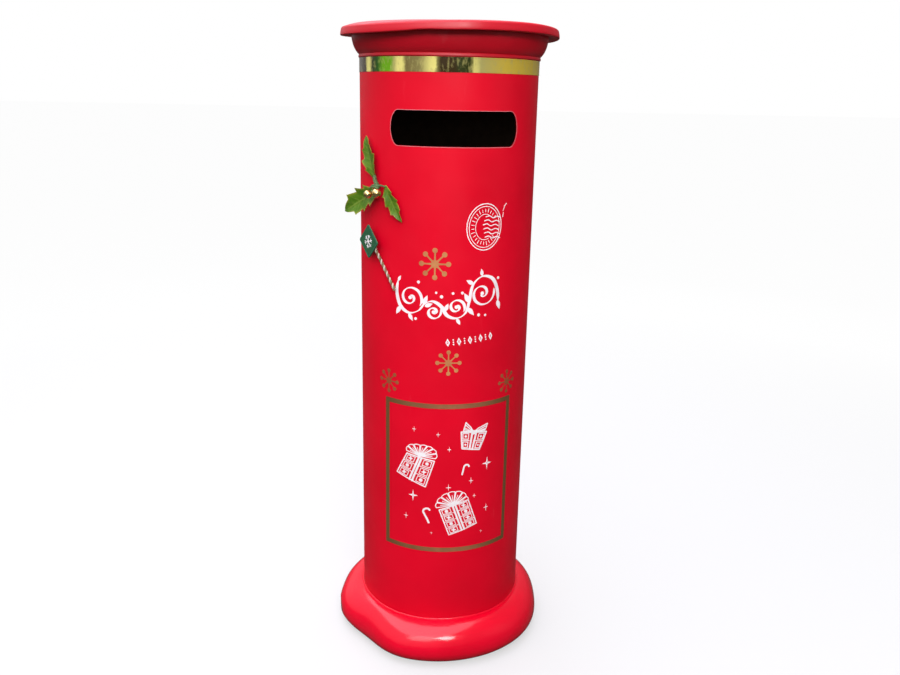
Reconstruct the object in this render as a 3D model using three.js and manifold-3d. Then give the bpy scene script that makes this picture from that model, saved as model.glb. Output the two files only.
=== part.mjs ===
// A Christmas letter pillar: a round box for letters, with a rear emptying door.
// Millimetres, +Z up. The origin is at the centre of the footprint, on the floor, and the front faces -Y.
// An azimuth is an angle round the Z axis from the front, positive towards +X. PI is the rear.
import * as THREE from "three";
import { mergeVertices } from "three/addons/utils/BufferGeometryUtils.js";
import Module from "manifold-3d";

const wasm = await Module();
wasm.setup();

// ---- Driving dimensions ----
const TUBE_R = 175;
const TUBE_WALL = 5;
const TUBE_BOTTOM = 3.5;
const TUBE_TOP = 1269;
const GAP = 0.4;
const TUBE_SIDES = 72;
const RING_SIDES = 48;
const RING_GAP = 0.7;

const PAD_R = 16;
const PAD_T = 3;
const PAD_CIRCLE = 135;
const BOARD_T = 18;
const BOARD_R = TUBE_R - TUBE_WALL - GAP;

const RING_R = 230;
const RING_BOTTOM = 1;
const RING_WIDEST = 32;
const RING_TOP = 88;
const RING_CREST_R = 193;
const RING_FOOT_R = 190;

const FLOOR_TOP = 139.7;
const FLOOR_T = 9;
const CLEAT = { length: 90, depth: 14, height: 24 };

const CORNICE_BOTTOM = 1226.4;
const CORNICE_LIP_R = 177.6;
const CORNICE_LIP_H = 6;
const CORNICE_TOP_R = 191;
const CAP_R = 212;
const CAP_BOTTOM = 1269.6;
const CAP_T = 17;
const RIM_T = 14;
const RIM_WAVE = { height: 2.9, crest: rad(33), from: 194, to: 206 };

const BAND_BOTTOM = 1199.6;
const BAND_TOP = 1225.6;
const SKIN_T = 0.6;

const SLOT = { z: 1101.9, halfHeight: 31.6, halfStraight: 103.6, endWidth: 13.1 };

const DOOR = { half: rad(40), gap: rad(0.5), bottom: 150, top: 530 };
const STOP_LAP = 10;
const STOP_T = 5;

const HINGE_AZIMUTH = Math.PI - rad(40.25);
const HINGE_R = 180.2;
const HINGE_HEIGHTS = { upper: 460, lower: 220 };
const KNUCKLE_R = 4.5;
const KNUCKLE_BORE = 2.6;
const KNUCKLE_H = 14.4;
const HINGE_PIN_R = 2.2;
const LEAF_T = 1.5;
const LEAF_REACH = 24;
const LEAF_CLEAR = 5.6;
const HINGE_H = 3 * KNUCKLE_H + 2 * GAP;
const SCREW_OFFSET = 12;

const LOCK_AZIMUTH = Math.PI + rad(31);
const LOCK_Z = 340;
const LOCK_R = 9;
const LOCK_FLANGE_R = 12;
const LOCK_FLANGE_T = 3;
const LOCK_INNER = -13.6;
const PLUG_R = 6;
const NUT = { r: 14, near: -10.3, far: -5.5 };
const CAM = { thickness: 2.8, near: -17, reach: 34, width: 15 };
const KEY = { slotX: 1.4, slotY: 3.4, bladeX: 1, bladeY: 3, bowR: 11, bowT: 2 };

const HOLLY = { azimuth: rad(-50), z: 988, berry: 8 };
const SIGN = { azimuth: rad(-58), z: 885, side: 48, thickness: 2.4, stand: 10.6, turn: rad(46) };
const STICK = { azimuth: rad(-36.8), z: 799, r: 3.2, stand: 7 };

const FRAME_DECAL = { halfWidth: 122.2, top: 569.8, bottom: 252.3, side: 7.2, line: 10 };

function rad(degrees) {
  return (degrees * Math.PI) / 180;
}

// ---- Materials ----
function finish(color, roughness, metalness) {
  return new THREE.MeshStandardMaterial({ color, roughness, metalness });
}
const RED_PAINT = finish(0xe0102c, 0.45, 0);
const GLOSS_RED = finish(0xe8002c, 0.18, 0);
const GOLD_FOIL = finish(0xd8b04a, 0.12, 1);
const GOLD_VINYL = finish(0xa56441, 0.45, 0.3);
const WHITE_VINYL = finish(0xfff0f5, 0.5, 0);
const PLYWOOD = finish(0xc9a877, 0.7, 0);
const RUBBER = finish(0x191919, 0.85, 0);
const ZINC = finish(0xb4b6b8, 0.35, 1);
const CHROME = finish(0xd2d4d6, 0.12, 1);
const LEAF_GREEN = finish(0x50780a, 0.55, 0);
const STEM_GREEN = finish(0x3c6a2c, 0.8, 0);
const SIGN_GREEN = finish(0x14502d, 0.5, 0);
const BERRY_GOLD = finish(0xd9b45a, 0.2, 1);
const STICK_GOLD = finish(0xc8b48a, 0.5, 0.2);

// ---- Building blocks ----
const model = new THREE.Group();

function addMesh(name, geometry, material, parent = model) {
  const mesh = new THREE.Mesh(geometry, material);
  mesh.name = name;
  parent.add(mesh);
  return mesh;
}

function solid(geometry) {
  const bare = geometry.clone();
  bare.deleteAttribute("normal");
  bare.deleteAttribute("uv");
  const merged = mergeVertices(bare, 1e-3);
  const vertProperties = merged.attributes.position.array;
  const triVerts = new Uint32Array(merged.index.array);
  return new wasm.Manifold(new wasm.Mesh({ numProp: 3, vertProperties, triVerts }));
}

function geometryOf(manifold) {
  const { vertProperties, triVerts } = manifold.getMesh();
  const shared = new THREE.BufferGeometry();
  shared.setAttribute("position", new THREE.BufferAttribute(vertProperties, 3));
  shared.setIndex(new THREE.BufferAttribute(triVerts, 1));
  const flat = shared.toNonIndexed();
  flat.computeVertexNormals();
  return flat;
}

// A solid of revolution about Z. The profile is [radius, height] points, up the outside.
function turned(profile, sides = 48, closed = true) {
  const points = profile.map(([r, z]) => new THREE.Vector2(r, z));
  if (closed) points.push(points[0].clone());
  return new THREE.LatheGeometry(points, sides).rotateX(Math.PI / 2);
}

function ring(inner, outer, bottom, top, sides) {
  return turned([[inner, bottom], [outer, bottom], [outer, top], [inner, top]], sides);
}

// A cylinder about Z between two heights.
function post(radius, bottom, top, sides = 24, topRadius = radius) {
  const body = new THREE.CylinderGeometry(topRadius, radius, top - bottom, sides);
  return body.rotateX(Math.PI / 2).translate(0, 0, (bottom + top) / 2);
}

function block(width, depth, height) {
  return new THREE.BoxGeometry(width, depth, height);
}

// A quarter of an ellipse, as profile points, from one angle to another.
function ellipseArc(centre, radii, from, to, steps) {
  return Array.from({ length: steps + 1 }, (_, i) => {
    const angle = from + ((to - from) * i) / steps;
    return [centre[0] + radii[0] * Math.cos(angle), centre[1] + radii[1] * Math.sin(angle)];
  });
}

// A curved plate round the Z axis, centred on an azimuth.
function wallPlate(inner, outer, azimuth, half, bottom, top, steps = 12) {
  const middle = azimuth - Math.PI / 2;
  const shape = new THREE.Shape();
  shape.absarc(0, 0, outer, middle - half, middle + half, false);
  shape.absarc(0, 0, inner, middle + half, middle - half, true);
  const depth = top - bottom;
  const plate = new THREE.ExtrudeGeometry(shape, { depth, bevelEnabled: false, curveSegments: steps });
  return plate.translate(0, 0, bottom);
}

// A place on the wall: x runs round it, y is up and z points out of it.
function onWall(azimuth, height, radius = TUBE_R) {
  const spot = new THREE.Group();
  const across = new THREE.Vector3(Math.cos(azimuth), Math.sin(azimuth), 0);
  const outward = new THREE.Vector3(Math.sin(azimuth), -Math.cos(azimuth), 0);
  const frame = new THREE.Matrix4().makeBasis(across, new THREE.Vector3(0, 0, 1), outward);
  spot.quaternion.setFromRotationMatrix(frame);
  spot.position.copy(outward).multiplyScalar(radius).setZ(height);
  spot.updateMatrixWorld();
  model.add(spot);
  return spot;
}

function placed(geometry, spot) {
  return geometry.clone().applyMatrix4(spot.matrixWorld);
}

function extruded(shape, depth, curveSegments = 8) {
  return new THREE.ExtrudeGeometry(shape, { depth, bevelEnabled: false, curveSegments });
}

// A flat shape laid on the outside of the tube as a thin skin.
function decal(name, shape, azimuth, height, material, curveSegments = 8) {
  const cutter = extruded(shape, 110, curveSegments).translate(0, 0, -90);
  const spot = onWall(azimuth, height);
  const skin = ring(TUBE_R + GAP, TUBE_R + GAP + SKIN_T, height - 200, height + 200, TUBE_SIDES);
  addMesh(name, geometryOf(solid(skin).intersect(solid(placed(cutter, spot)))), material);
}

// A flat shape bent round the wall. lift(x, y) is how far it stands off the tube at each point.
function wrapped(shape, thickness, azimuth, height, lift) {
  const bent = extruded(shape, thickness);
  const points = bent.attributes.position;
  for (let i = 0; i < points.count; i++) {
    const x = points.getX(i);
    const y = points.getY(i);
    const angle = azimuth + x / TUBE_R;
    const r = TUBE_R + lift(x, y) + points.getZ(i);
    points.setXYZ(i, r * Math.sin(angle), -r * Math.cos(angle), height + y);
  }
  bent.computeVertexNormals();
  return bent;
}

// ---- Foot and structure ----
function addFoot() {
  const lower = ellipseArc([RING_FOOT_R, RING_WIDEST], [RING_R - RING_FOOT_R, RING_WIDEST - RING_BOTTOM],
    -Math.PI / 2, 0, 3);
  const upper = ellipseArc([RING_CREST_R, RING_WIDEST], [RING_R - RING_CREST_R, RING_TOP - RING_WIDEST],
    0, Math.PI / 2, 5).slice(1);
  const inner = TUBE_R + RING_GAP;
  const profile = [[inner, RING_BOTTOM], ...lower, ...upper, [inner, RING_TOP]];
  addMesh("base_ring", turned(profile, RING_SIDES), GLOSS_RED);
  const boardBottom = PAD_T + GAP;
  addMesh("base_board", post(BOARD_R, boardBottom, boardBottom + BOARD_T, RING_SIDES), PLYWOOD);
  for (let i = 0; i < 4; i++) {
    const angle = (i + 0.5) * (Math.PI / 2);
    const pad = addMesh(`foot_pad_${i + 1}`, post(PAD_R, 0, PAD_T, 16), RUBBER);
    pad.position.set(PAD_CIRCLE * Math.cos(angle), PAD_CIRCLE * Math.sin(angle), 0);
  }
}

function addLetterFloor() {
  addMesh("letter_floor", post(BOARD_R, FLOOR_TOP - FLOOR_T, FLOOR_TOP, RING_SIDES), PLYWOOD);
  const reach = Math.sqrt((BOARD_R - GAP) ** 2 - (CLEAT.length / 2) ** 2);
  for (let i = 0; i < 3; i++) {
    const spot = onWall(Math.PI / 3 + (i * 2 * Math.PI) / 3, FLOOR_TOP - FLOOR_T - GAP - CLEAT.height / 2, reach);
    const cleat = addMesh(`floor_cleat_${i + 1}`, block(CLEAT.length, CLEAT.height, CLEAT.depth), PLYWOOD, spot);
    cleat.position.z = -CLEAT.depth / 2;
  }
}

// ---- Body tube ----
function slotShape() {
  const { halfHeight, halfStraight, endWidth } = SLOT;
  const quarter = Math.PI / 2;
  const shape = new THREE.Shape();
  shape.moveTo(-halfStraight, -halfHeight);
  shape.lineTo(halfStraight, -halfHeight);
  shape.absellipse(halfStraight, 0, endWidth, halfHeight, -quarter, quarter, false);
  shape.lineTo(-halfStraight, halfHeight);
  shape.absellipse(-halfStraight, 0, endWidth, halfHeight, quarter, 3 * quarter, false);
  return shape;
}

function addBodyTube() {
  const tube = solid(ring(TUBE_R - TUBE_WALL, TUBE_R, TUBE_BOTTOM, TUBE_TOP, TUBE_SIDES));
  const slot = placed(extruded(slotShape(), 120, 8).translate(0, 0, -90), onWall(0, SLOT.z));
  const { half, gap, bottom, top } = DOOR;
  const doorway = wallPlate(TUBE_R - 20, TUBE_R + 20, Math.PI, half + gap, bottom - GAP, top + GAP);
  const cut = tube.subtract(solid(slot)).subtract(solid(doorway));
  addMesh("body_tube", geometryOf(drilled(cut, bodyScrewSpots())), RED_PAINT);
}

// ---- Head: top board, cornice, lid and foil band ----
function capScrewPlaces() {
  return [0, 1, 2, 3].map((i) => {
    const angle = (i + 0.5) * (Math.PI / 2);
    return [120 * Math.cos(angle), 120 * Math.sin(angle)];
  });
}

// The lid's rim rises and falls twice round its edge.
function withRimWave(geometry) {
  const points = geometry.attributes.position;
  for (let i = 0; i < points.count; i++) {
    const x = points.getX(i);
    const y = points.getY(i);
    const share = (Math.hypot(x, y) - RIM_WAVE.from) / (RIM_WAVE.to - RIM_WAVE.from);
    const reach = Math.min(1, Math.max(0, share));
    const wave = RIM_WAVE.height * Math.cos(2 * (Math.atan2(x, -y) - RIM_WAVE.crest));
    points.setZ(i, points.getZ(i) + reach * wave);
  }
  return geometry;
}

function addHead() {
  const capTop = CAP_BOTTOM + CAP_T;
  const rimTop = CAP_BOTTOM + RIM_T;
  let board = solid(post(BOARD_R, TUBE_TOP - BOARD_T, TUBE_TOP, RING_SIDES));
  const edge = ellipseArc([CAP_R - 7, rimTop - 6], [5, 6], 0, Math.PI / 2, 3);
  const capProfile = [[0, CAP_BOTTOM], [RIM_WAVE.from, CAP_BOTTOM], [CAP_R - 1.5, CAP_BOTTOM],
    [CAP_R, CAP_BOTTOM + 1.5], ...edge, [168, capTop], [0, capTop]];
  let cap = solid(withRimWave(turned(capProfile, RING_SIDES, false)));
  capScrewPlaces().forEach(([x, y], i) => {
    const hole = solid(post(2.6, TUBE_TOP - BOARD_T - 5, capTop + 5, 12).translate(x, y, 0));
    const counterbore = solid(post(5.2, capTop - 2.6, capTop + 5, 16).translate(x, y, 0));
    board = board.subtract(hole);
    cap = cap.subtract(hole).subtract(counterbore);
    const shank = solid(post(2.2, TUBE_TOP - 12, capTop - 1, 12).translate(x, y, 0));
    const head = solid(post(4.6, capTop - 2.2, capTop - 0.4, 16).translate(x, y, 0));
    addMesh(`cap_screw_${i + 1}`, geometryOf(shank.add(head)), ZINC);
  });
  addMesh("top_board", geometryOf(board), PLYWOOD);
  addMesh("cap_disc", geometryOf(cap), RED_PAINT);

  const inner = TUBE_R + RING_GAP;
  const lipTop = CORNICE_BOTTOM + CORNICE_LIP_H;
  const corniceTop = CAP_BOTTOM - GAP;
  const foot = CORNICE_LIP_R - 0.8;
  const flare = [0, 0.25, 0.5, 0.75, 1].map((t) => [
    foot + (CORNICE_TOP_R - foot) * (1.4 * t * (1 - t) + t * t),
    lipTop + (corniceTop - lipTop) * (0.6 * t * (1 - t) + t * t),
  ]);
  const profile = [[inner, CORNICE_BOTTOM], [CORNICE_LIP_R, CORNICE_BOTTOM], [CORNICE_LIP_R, CORNICE_BOTTOM + 3],
    ...flare, [inner, corniceTop]];
  addMesh("cornice_ring", turned(profile, RING_SIDES), RED_PAINT);
  const skin = TUBE_R + GAP;
  addMesh("gold_band", ring(skin, skin + SKIN_T, BAND_BOTTOM, BAND_TOP, TUBE_SIDES), GOLD_FOIL);
}

// ---- Rear door and its hinges ----
function screwSpot(side, height) {
  return onWall(HINGE_AZIMUTH + (side * (LEAF_CLEAR + SCREW_OFFSET)) / TUBE_R, height);
}

function screwHeights(height) {
  return [height + KNUCKLE_H, height - KNUCKLE_H];
}

function screwSpots(side) {
  return Object.values(HINGE_HEIGHTS).flatMap(screwHeights).map((z) => screwSpot(side, z));
}

function bodyScrewSpots() {
  return screwSpots(-1);
}

// Cuts a screw hole through a wall at each spot.
function drilled(wall, spots) {
  return spots.reduce((left, spot) => left.subtract(solid(placed(post(1.8, -12, 12, 8), spot))), wall);
}

function addHingeScrews() {
  const sides = { body: -1, door: 1 };
  for (const [side, sign] of Object.entries(sides)) {
    screwSpots(sign).forEach((spot, i) => {
      const shank = solid(post(1.4, -6.5, 3, 8));
      const head = solid(post(3, 2.3, 3.6, 10, 2));
      addMesh(`${side}_hinge_screw_${i + 1}`, geometryOf(shank.add(head)), ZINC, spot);
    });
  }
}

// side is -1 for the leaf on the body and 1 for the leaf on the door. rows are its knuckles' places.
function hingeLeaf(side, height, rows) {
  const axis = onWall(HINGE_AZIMUTH, height, HINGE_R);
  const plateAt = onWall(HINGE_AZIMUTH + (side * (LEAF_CLEAR + LEAF_REACH) * 0.5) / TUBE_R, height);
  const width = LEAF_REACH - LEAF_CLEAR;
  const half = (LEAF_CLEAR + LEAF_REACH) / 2;
  const plate = block(width, HINGE_H, LEAF_T).translate(0, 0, 0.4 + LEAF_T / 2);
  let leaf = solid(placed(plate, plateAt));
  for (const row of rows) {
    const y = row * (KNUCKLE_H + GAP);
    const bridge = block(half, KNUCKLE_H, LEAF_T).translate((-side * half) / 2, y, 0.4 + LEAF_T / 2);
    const barrel = post(KNUCKLE_R, -KNUCKLE_H / 2, KNUCKLE_H / 2, 14).rotateX(-Math.PI / 2).translate(0, y, 0);
    leaf = leaf.add(solid(placed(bridge, plateAt))).add(solid(placed(barrel, axis)));
  }
  const bore = post(KNUCKLE_BORE, -HINGE_H, HINGE_H, 14).rotateX(-Math.PI / 2);
  leaf = leaf.subtract(solid(placed(bore, axis)));
  return drilled(leaf, screwHeights(height).map((z) => screwSpot(side, z)));
}

function addHinges() {
  for (const [which, height] of Object.entries(HINGE_HEIGHTS)) {
    addMesh(`hinge_${which}_body_leaf`, geometryOf(hingeLeaf(-1, height, [-1, 1])), ZINC);
    addMesh(`hinge_${which}_door_leaf`, geometryOf(hingeLeaf(1, height, [0])), ZINC);
    const end = HINGE_H / 2 + GAP;
    const shank = solid(post(HINGE_PIN_R, -end - 0.5, end + 0.5, 12));
    const heads = solid(post(3.4, end, end + 1.2, 12)).add(solid(post(3.4, -end - 1.2, -end, 12)));
    const pin = addMesh(`hinge_${which}_pin`, geometryOf(shank.add(heads)), ZINC);
    pin.position.copy(onWall(HINGE_AZIMUTH, height, HINGE_R).position);
  }
}

function addDoor() {
  const { half, gap, bottom, top } = DOOR;
  const panel = solid(wallPlate(TUBE_R - TUBE_WALL, TUBE_R, Math.PI, half, bottom, top));
  const lockHole = solid(placed(post(LOCK_R + GAP, -30, 30, 24), onWall(LOCK_AZIMUTH, LOCK_Z)));
  addMesh("rear_door", geometryOf(drilled(panel.subtract(lockHole), screwSpots(1))), RED_PAINT);

  const outer = TUBE_R - TUBE_WALL - 0.4;
  const inner = outer - STOP_T;
  const lap = STOP_LAP / TUBE_R;
  const frame = solid(wallPlate(inner, outer, Math.PI, half + gap + lap, bottom - STOP_LAP, top + STOP_LAP));
  const window = wallPlate(inner - 5, outer + 5, Math.PI, half - lap, bottom + STOP_LAP, top - STOP_LAP);
  const cut = drilled(frame.subtract(solid(window)), bodyScrewSpots());
  addMesh("door_stop_frame", geometryOf(cut), RED_PAINT);
}

// ---- Cam lock ----
function addLock() {
  const spot = onWall(LOCK_AZIMUTH, LOCK_Z);
  const outerEnd = LOCK_FLANGE_T + 0.6;
  const barrel = solid(post(LOCK_R, LOCK_INNER, 1, 24));
  const flange = solid(post(LOCK_FLANGE_R, 0.5, outerEnd, 24, LOCK_FLANGE_R - 1));
  const bore = solid(post(PLUG_R + 0.3, LOCK_INNER - 5, outerEnd + 5, 24));
  addMesh("lock_housing", geometryOf(barrel.add(flange).subtract(bore)), CHROME, spot);

  const hex = solid(post(NUT.r, NUT.near, NUT.far, 6));
  const thread = solid(post(LOCK_R + 0.3, NUT.near - 5, NUT.far + 5, 24));
  addMesh("lock_nut", geometryOf(hex.subtract(thread)), ZINC, spot);

  const plug = solid(post(PLUG_R, CAM.near + CAM.thickness + 0.3, outerEnd + 0.2, 24));
  const keyway = solid(block(2 * KEY.slotX, 2 * KEY.slotY, 20).translate(0, 0, outerEnd + 0.2));
  const screwHole = solid(post(2.3, CAM.near - 5, CAM.near + 9, 12));
  addMesh("lock_plug", geometryOf(plug.subtract(keyway).subtract(screwHole)), CHROME, spot);

  const arm = new THREE.Shape();
  const round = CAM.width / 2;
  arm.absarc(0, 0, round, 0, Math.PI, false);
  arm.absarc(0, -(CAM.reach - round), round, Math.PI, 2 * Math.PI, false);
  const camHole = solid(post(2.4, CAM.near - 5, CAM.near + 9, 12));
  const cam = solid(extruded(arm, CAM.thickness, 10).translate(0, 0, CAM.near)).subtract(camHole);
  addMesh("lock_cam", geometryOf(cam), ZINC, spot);

  const shank = solid(post(2, CAM.near - 0.8, CAM.near + 7, 12));
  const head = solid(post(4.4, CAM.near - 2, CAM.near - 0.3, 16));
  addMesh("lock_cam_screw", geometryOf(shank.add(head)), ZINC, spot);

  const bladeIn = outerEnd - 8;
  const bowAt = outerEnd + 3 + KEY.bowR;
  const blade = solid(block(2 * KEY.bladeX, 2 * KEY.bladeY, bowAt - bladeIn).translate(0, 0, (bladeIn + bowAt) / 2));
  const bow = solid(post(KEY.bowR, -KEY.bowT / 2, KEY.bowT / 2, 20).rotateY(Math.PI / 2).translate(0, 0, bowAt));
  const eye = solid(post(3, -5, 5, 12).rotateY(Math.PI / 2).translate(0, 0, bowAt + 4.5));
  addMesh("lock_key", geometryOf(bow.add(blade).subtract(eye)), CHROME, spot);
}

// ---- Holly and the pick sign ----
// A holly leaf along a direction from the origin, with prickles along both edges.
function leafShape(length, width, direction) {
  const prickles = 3;
  const steps = prickles * 2;
  const along = new THREE.Vector2(Math.cos(direction), Math.sin(direction));
  const across = new THREE.Vector2(-along.y, along.x);
  const edge = (side) => Array.from({ length: steps - 1 }, (_, i) => {
    const t = (i + 1) / steps;
    const half = (width / 2) * Math.sin(Math.PI * t ** 0.8) * (i % 2 ? 1 : 0.72);
    return along.clone().multiplyScalar(length * t).addScaledVector(across, side * half);
  });
  const start = new THREE.Vector2(0, 0);
  const tip = along.clone().multiplyScalar(length);
  return new THREE.Shape([start, ...edge(-1), tip, ...edge(1).reverse()]);
}

function addHolly() {
  const leaves = [
    { from: [-13, 19], length: 81, width: 40, direction: rad(110.6), lift: () => 4 },
    { from: [16, 7], length: 73, width: 30, direction: rad(-60), lift: () => 4 },
    { from: [-6, -4.5], length: 81, width: 46, direction: rad(210), lift: (x) => 5 + 0.0071 * x * x },
  ];
  leaves.forEach(({ from, length, width, direction, lift }, i) => {
    const azimuth = HOLLY.azimuth + from[0] / TUBE_R;
    const leaf = wrapped(leafShape(length, width, direction), 1.2, azimuth, HOLLY.z + from[1], lift);
    addMesh(`holly_leaf_${i + 1}`, geometryOf(solid(leaf)), LEAF_GREEN);
  });
  const spot = onWall(HOLLY.azimuth, HOLLY.z);
  const berries = [[5.5, -7, 17], [-9, -10, 25]];
  berries.forEach((place, i) => {
    const berry = addMesh(`holly_berry_${i + 1}`, new THREE.SphereGeometry(HOLLY.berry, 12, 8), BERRY_GOLD, spot);
    berry.position.set(...place);
  });
  const stem = post(3.4, 0, 21, 10, 2.6).rotateX(-Math.PI / 2).rotateZ(rad(30)).translate(0, 4, 9);
  addMesh("holly_stem", stem, STEM_GREEN, spot);
}

function addPick() {
  const spot = onWall(SIGN.azimuth, SIGN.z, TUBE_R + SIGN.stand);
  const board = addMesh("pick_sign", block(SIGN.side, SIGN.side, SIGN.thickness), SIGN_GREEN, spot);
  board.position.z = SIGN.thickness / 2;
  board.rotation.z = SIGN.turn;
  const behind = TUBE_R + STICK.stand;
  const top = onWall(SIGN.azimuth + 13 / TUBE_R, SIGN.z - 11, behind).position;
  const bottom = onWall(STICK.azimuth, STICK.z, behind).position;
  const section = new THREE.Shape().absarc(0, 0, STICK.r, 0, 2 * Math.PI, false);
  const extrudePath = new THREE.LineCurve3(top, bottom);
  const stick = new THREE.ExtrudeGeometry(section, { steps: 1, curveSegments: 5, extrudePath });
  addMesh("pick_stick", stick, STICK_GOLD);
}

// ---- Decals ----
function rectangle(halfWidth, bottom, top) {
  const corners = [[-halfWidth, bottom], [halfWidth, bottom], [halfWidth, top], [-halfWidth, top]];
  return corners.map(([x, y]) => new THREE.Vector2(x, y));
}

function addFrameDecal() {
  const { halfWidth, top, bottom, side, line } = FRAME_DECAL;
  const middle = (top + bottom) / 2;
  const reach = (top - bottom) / 2;
  const shape = new THREE.Shape(rectangle(halfWidth + side / 2, -reach - line / 2, reach + line / 2));
  shape.holes.push(new THREE.Path(rectangle(halfWidth - side / 2, -reach + line / 2, reach - line / 2)));
  decal("frame_decal", shape, 0, middle, GOLD_VINYL);
}

// Eight arms, each with a dot at its end, round a hub.
function snowflakeShape(across) {
  const arms = 8;
  const dot = across * 0.075;
  const arm = across * 0.03;
  const hub = across * 0.12;
  const points = [];
  for (let i = 0; i < arms; i++) {
    const turn = (i * 2 * Math.PI) / arms;
    const at = (r, side) => new THREE.Vector2(r * Math.cos(turn) - side * Math.sin(turn),
      r * Math.sin(turn) + side * Math.cos(turn));
    const end = across / 2 - dot;
    points.push(at(hub, -arm));
    points.push(at(end - dot, -arm));
    for (let k = -2; k <= 2; k++) {
      const angle = k * rad(62);
      points.push(at(end + dot * Math.cos(angle), dot * Math.sin(angle)));
    }
    points.push(at(end - dot, arm));
    points.push(at(hub, arm));
  }
  return new THREE.Shape(points);
}

function addSnowflakes() {
  const flakes = [
    { azimuth: rad(-11.3), z: 855.2, across: 62 },
    { azimuth: rad(-1.7), z: 660.4, across: 52 },
    { azimuth: rad(-43.2), z: 609.7, across: 50 },
    { azimuth: rad(42.1), z: 606.7, across: 50 },
  ];
  flakes.forEach(({ azimuth, z, across }, i) => {
    const flake = wrapped(snowflakeShape(across), SKIN_T, azimuth, z, () => RING_GAP);
    addMesh(`snowflake_decal_${i + 1}`, flake, GOLD_VINYL);
  });
}

function discShape(width, height) {
  return new THREE.Shape().absellipse(0, 0, width / 2, height / 2, 0, 2 * Math.PI, false);
}

function bannerShape(width, height, slope) {
  const rise = (width * slope) / 2;
  const corners = [[-width / 2, -height / 2 - rise], [width / 2, -height / 2 + rise],
    [width / 2, height / 2 + rise], [-width / 2, height / 2 - rise]];
  return new THREE.Shape(corners.map(([x, y]) => new THREE.Vector2(x, y)));
}

// Tall at both ends and low in the middle, where a snowflake hangs above it.
function scrollShape() {
  const outline = [[-104, -52], [-70, -44], [-50, -34], [104, -22], [104, 44], [40, 40], [20, 14], [-56, 10],
    [-66, 42], [-104, 34]];
  return new THREE.Shape(outline.map(([x, y]) => new THREE.Vector2(x, y)));
}

function addWhiteDecals() {
  decal("postmark_decal", discShape(75, 90), rad(19.7), 924.7, WHITE_VINYL, 12);
  decal("flourish_decal_large", scrollShape(), rad(-2.2), 789, WHITE_VINYL);
  decal("flourish_decal_small", bannerShape(95, 18, 0.1), rad(11.7), 707, WHITE_VINYL);
  const gifts = [
    { azimuth: rad(-21.4), z: 438, outline: [[-46, -22], [19, -45], [40, 30], [24, 44], [-10, 45], [-22, 38]] },
    { azimuth: rad(16.6), z: 504, outline: [[-26, -26], [13, -32], [30, 22], [4, 15], [-18, 31], [-28, 12]] },
    { azimuth: rad(6.2), z: 334, outline: [[-17, -48], [44, -28], [20, 46], [-18, 49], [-43, 25]] },
  ];
  gifts.forEach(({ azimuth, z, outline }, i) => {
    const shape = new THREE.Shape(outline.map(([x, y]) => new THREE.Vector2(x, y)));
    decal(`gift_decal_${i + 1}`, shape, azimuth, z, WHITE_VINYL);
  });
}

addFoot();
addLetterFloor();
addBodyTube();
addHead();
addDoor();
addHinges();
addHingeScrews();
addLock();
addHolly();
addPick();
addFrameDecal();
addSnowflakes();
addWhiteDecals();

export default model;
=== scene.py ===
"""A Christmas letter pillar: the finished look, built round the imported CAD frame.

Metres, +Z up. The front faces -Y. An azimuth is an angle round Z from the front, positive towards +X.
"""

import math
import random

import bmesh
import bpy
from mathutils import Matrix, Vector


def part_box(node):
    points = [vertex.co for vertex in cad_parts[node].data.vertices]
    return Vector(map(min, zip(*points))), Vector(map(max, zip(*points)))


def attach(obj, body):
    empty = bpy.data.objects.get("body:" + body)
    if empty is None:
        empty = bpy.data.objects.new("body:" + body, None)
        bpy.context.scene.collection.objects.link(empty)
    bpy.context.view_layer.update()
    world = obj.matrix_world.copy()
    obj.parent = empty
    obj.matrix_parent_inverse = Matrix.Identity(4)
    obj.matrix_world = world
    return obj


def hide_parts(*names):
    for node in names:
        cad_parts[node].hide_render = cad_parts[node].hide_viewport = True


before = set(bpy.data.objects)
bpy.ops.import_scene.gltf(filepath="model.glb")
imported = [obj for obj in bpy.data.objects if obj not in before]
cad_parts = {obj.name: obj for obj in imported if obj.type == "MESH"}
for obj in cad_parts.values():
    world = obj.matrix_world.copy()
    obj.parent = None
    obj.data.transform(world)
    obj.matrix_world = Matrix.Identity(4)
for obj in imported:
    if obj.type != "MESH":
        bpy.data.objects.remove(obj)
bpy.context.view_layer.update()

MM = 0.001
TURN = 2 * math.pi
REAR = math.pi

# ---- Sizes, from the frame ----
TUBE_LOW, TUBE_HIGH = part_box("body_tube")
TUBE_R = TUBE_HIGH.x
WALL = 5 * MM
RING_LOW, RING_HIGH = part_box("base_ring")
CAP_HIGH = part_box("cap_disc")[1]
CORNICE_LOW, CORNICE_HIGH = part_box("cornice_ring")
BAND_LOW, BAND_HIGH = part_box("gold_band")
DOOR_LOW, DOOR_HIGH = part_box("rear_door")
DOOR_HALF = math.radians(40)
DOOR_GAP = math.radians(0.5)
HINGE_AZIMUTH = REAR - math.radians(40.25)
HINGE_R = 180.2 * MM
LOCK_AZIMUTH = REAR + math.radians(31)
LOCK_Z = (DOOR_LOW.z + DOOR_HIGH.z) / 2
FINE = 192


# ---- Places ----
def polar(azimuth, radius, height):
    return Vector((radius * math.sin(azimuth), -radius * math.cos(azimuth), height))


def wall_frame(azimuth, height, radius=TUBE_R):
    """A matrix whose x runs round the wall, y is up and z points out of it."""
    across = Vector((math.cos(azimuth), math.sin(azimuth), 0))
    outward = Vector((math.sin(azimuth), -math.cos(azimuth), 0))
    turn = Matrix((across, Vector((0, 0, 1)), outward)).transposed().to_4x4()
    return Matrix.Translation(polar(azimuth, radius, height)) @ turn


def middle(node):
    low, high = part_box(node)
    return (low + high) / 2


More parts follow.
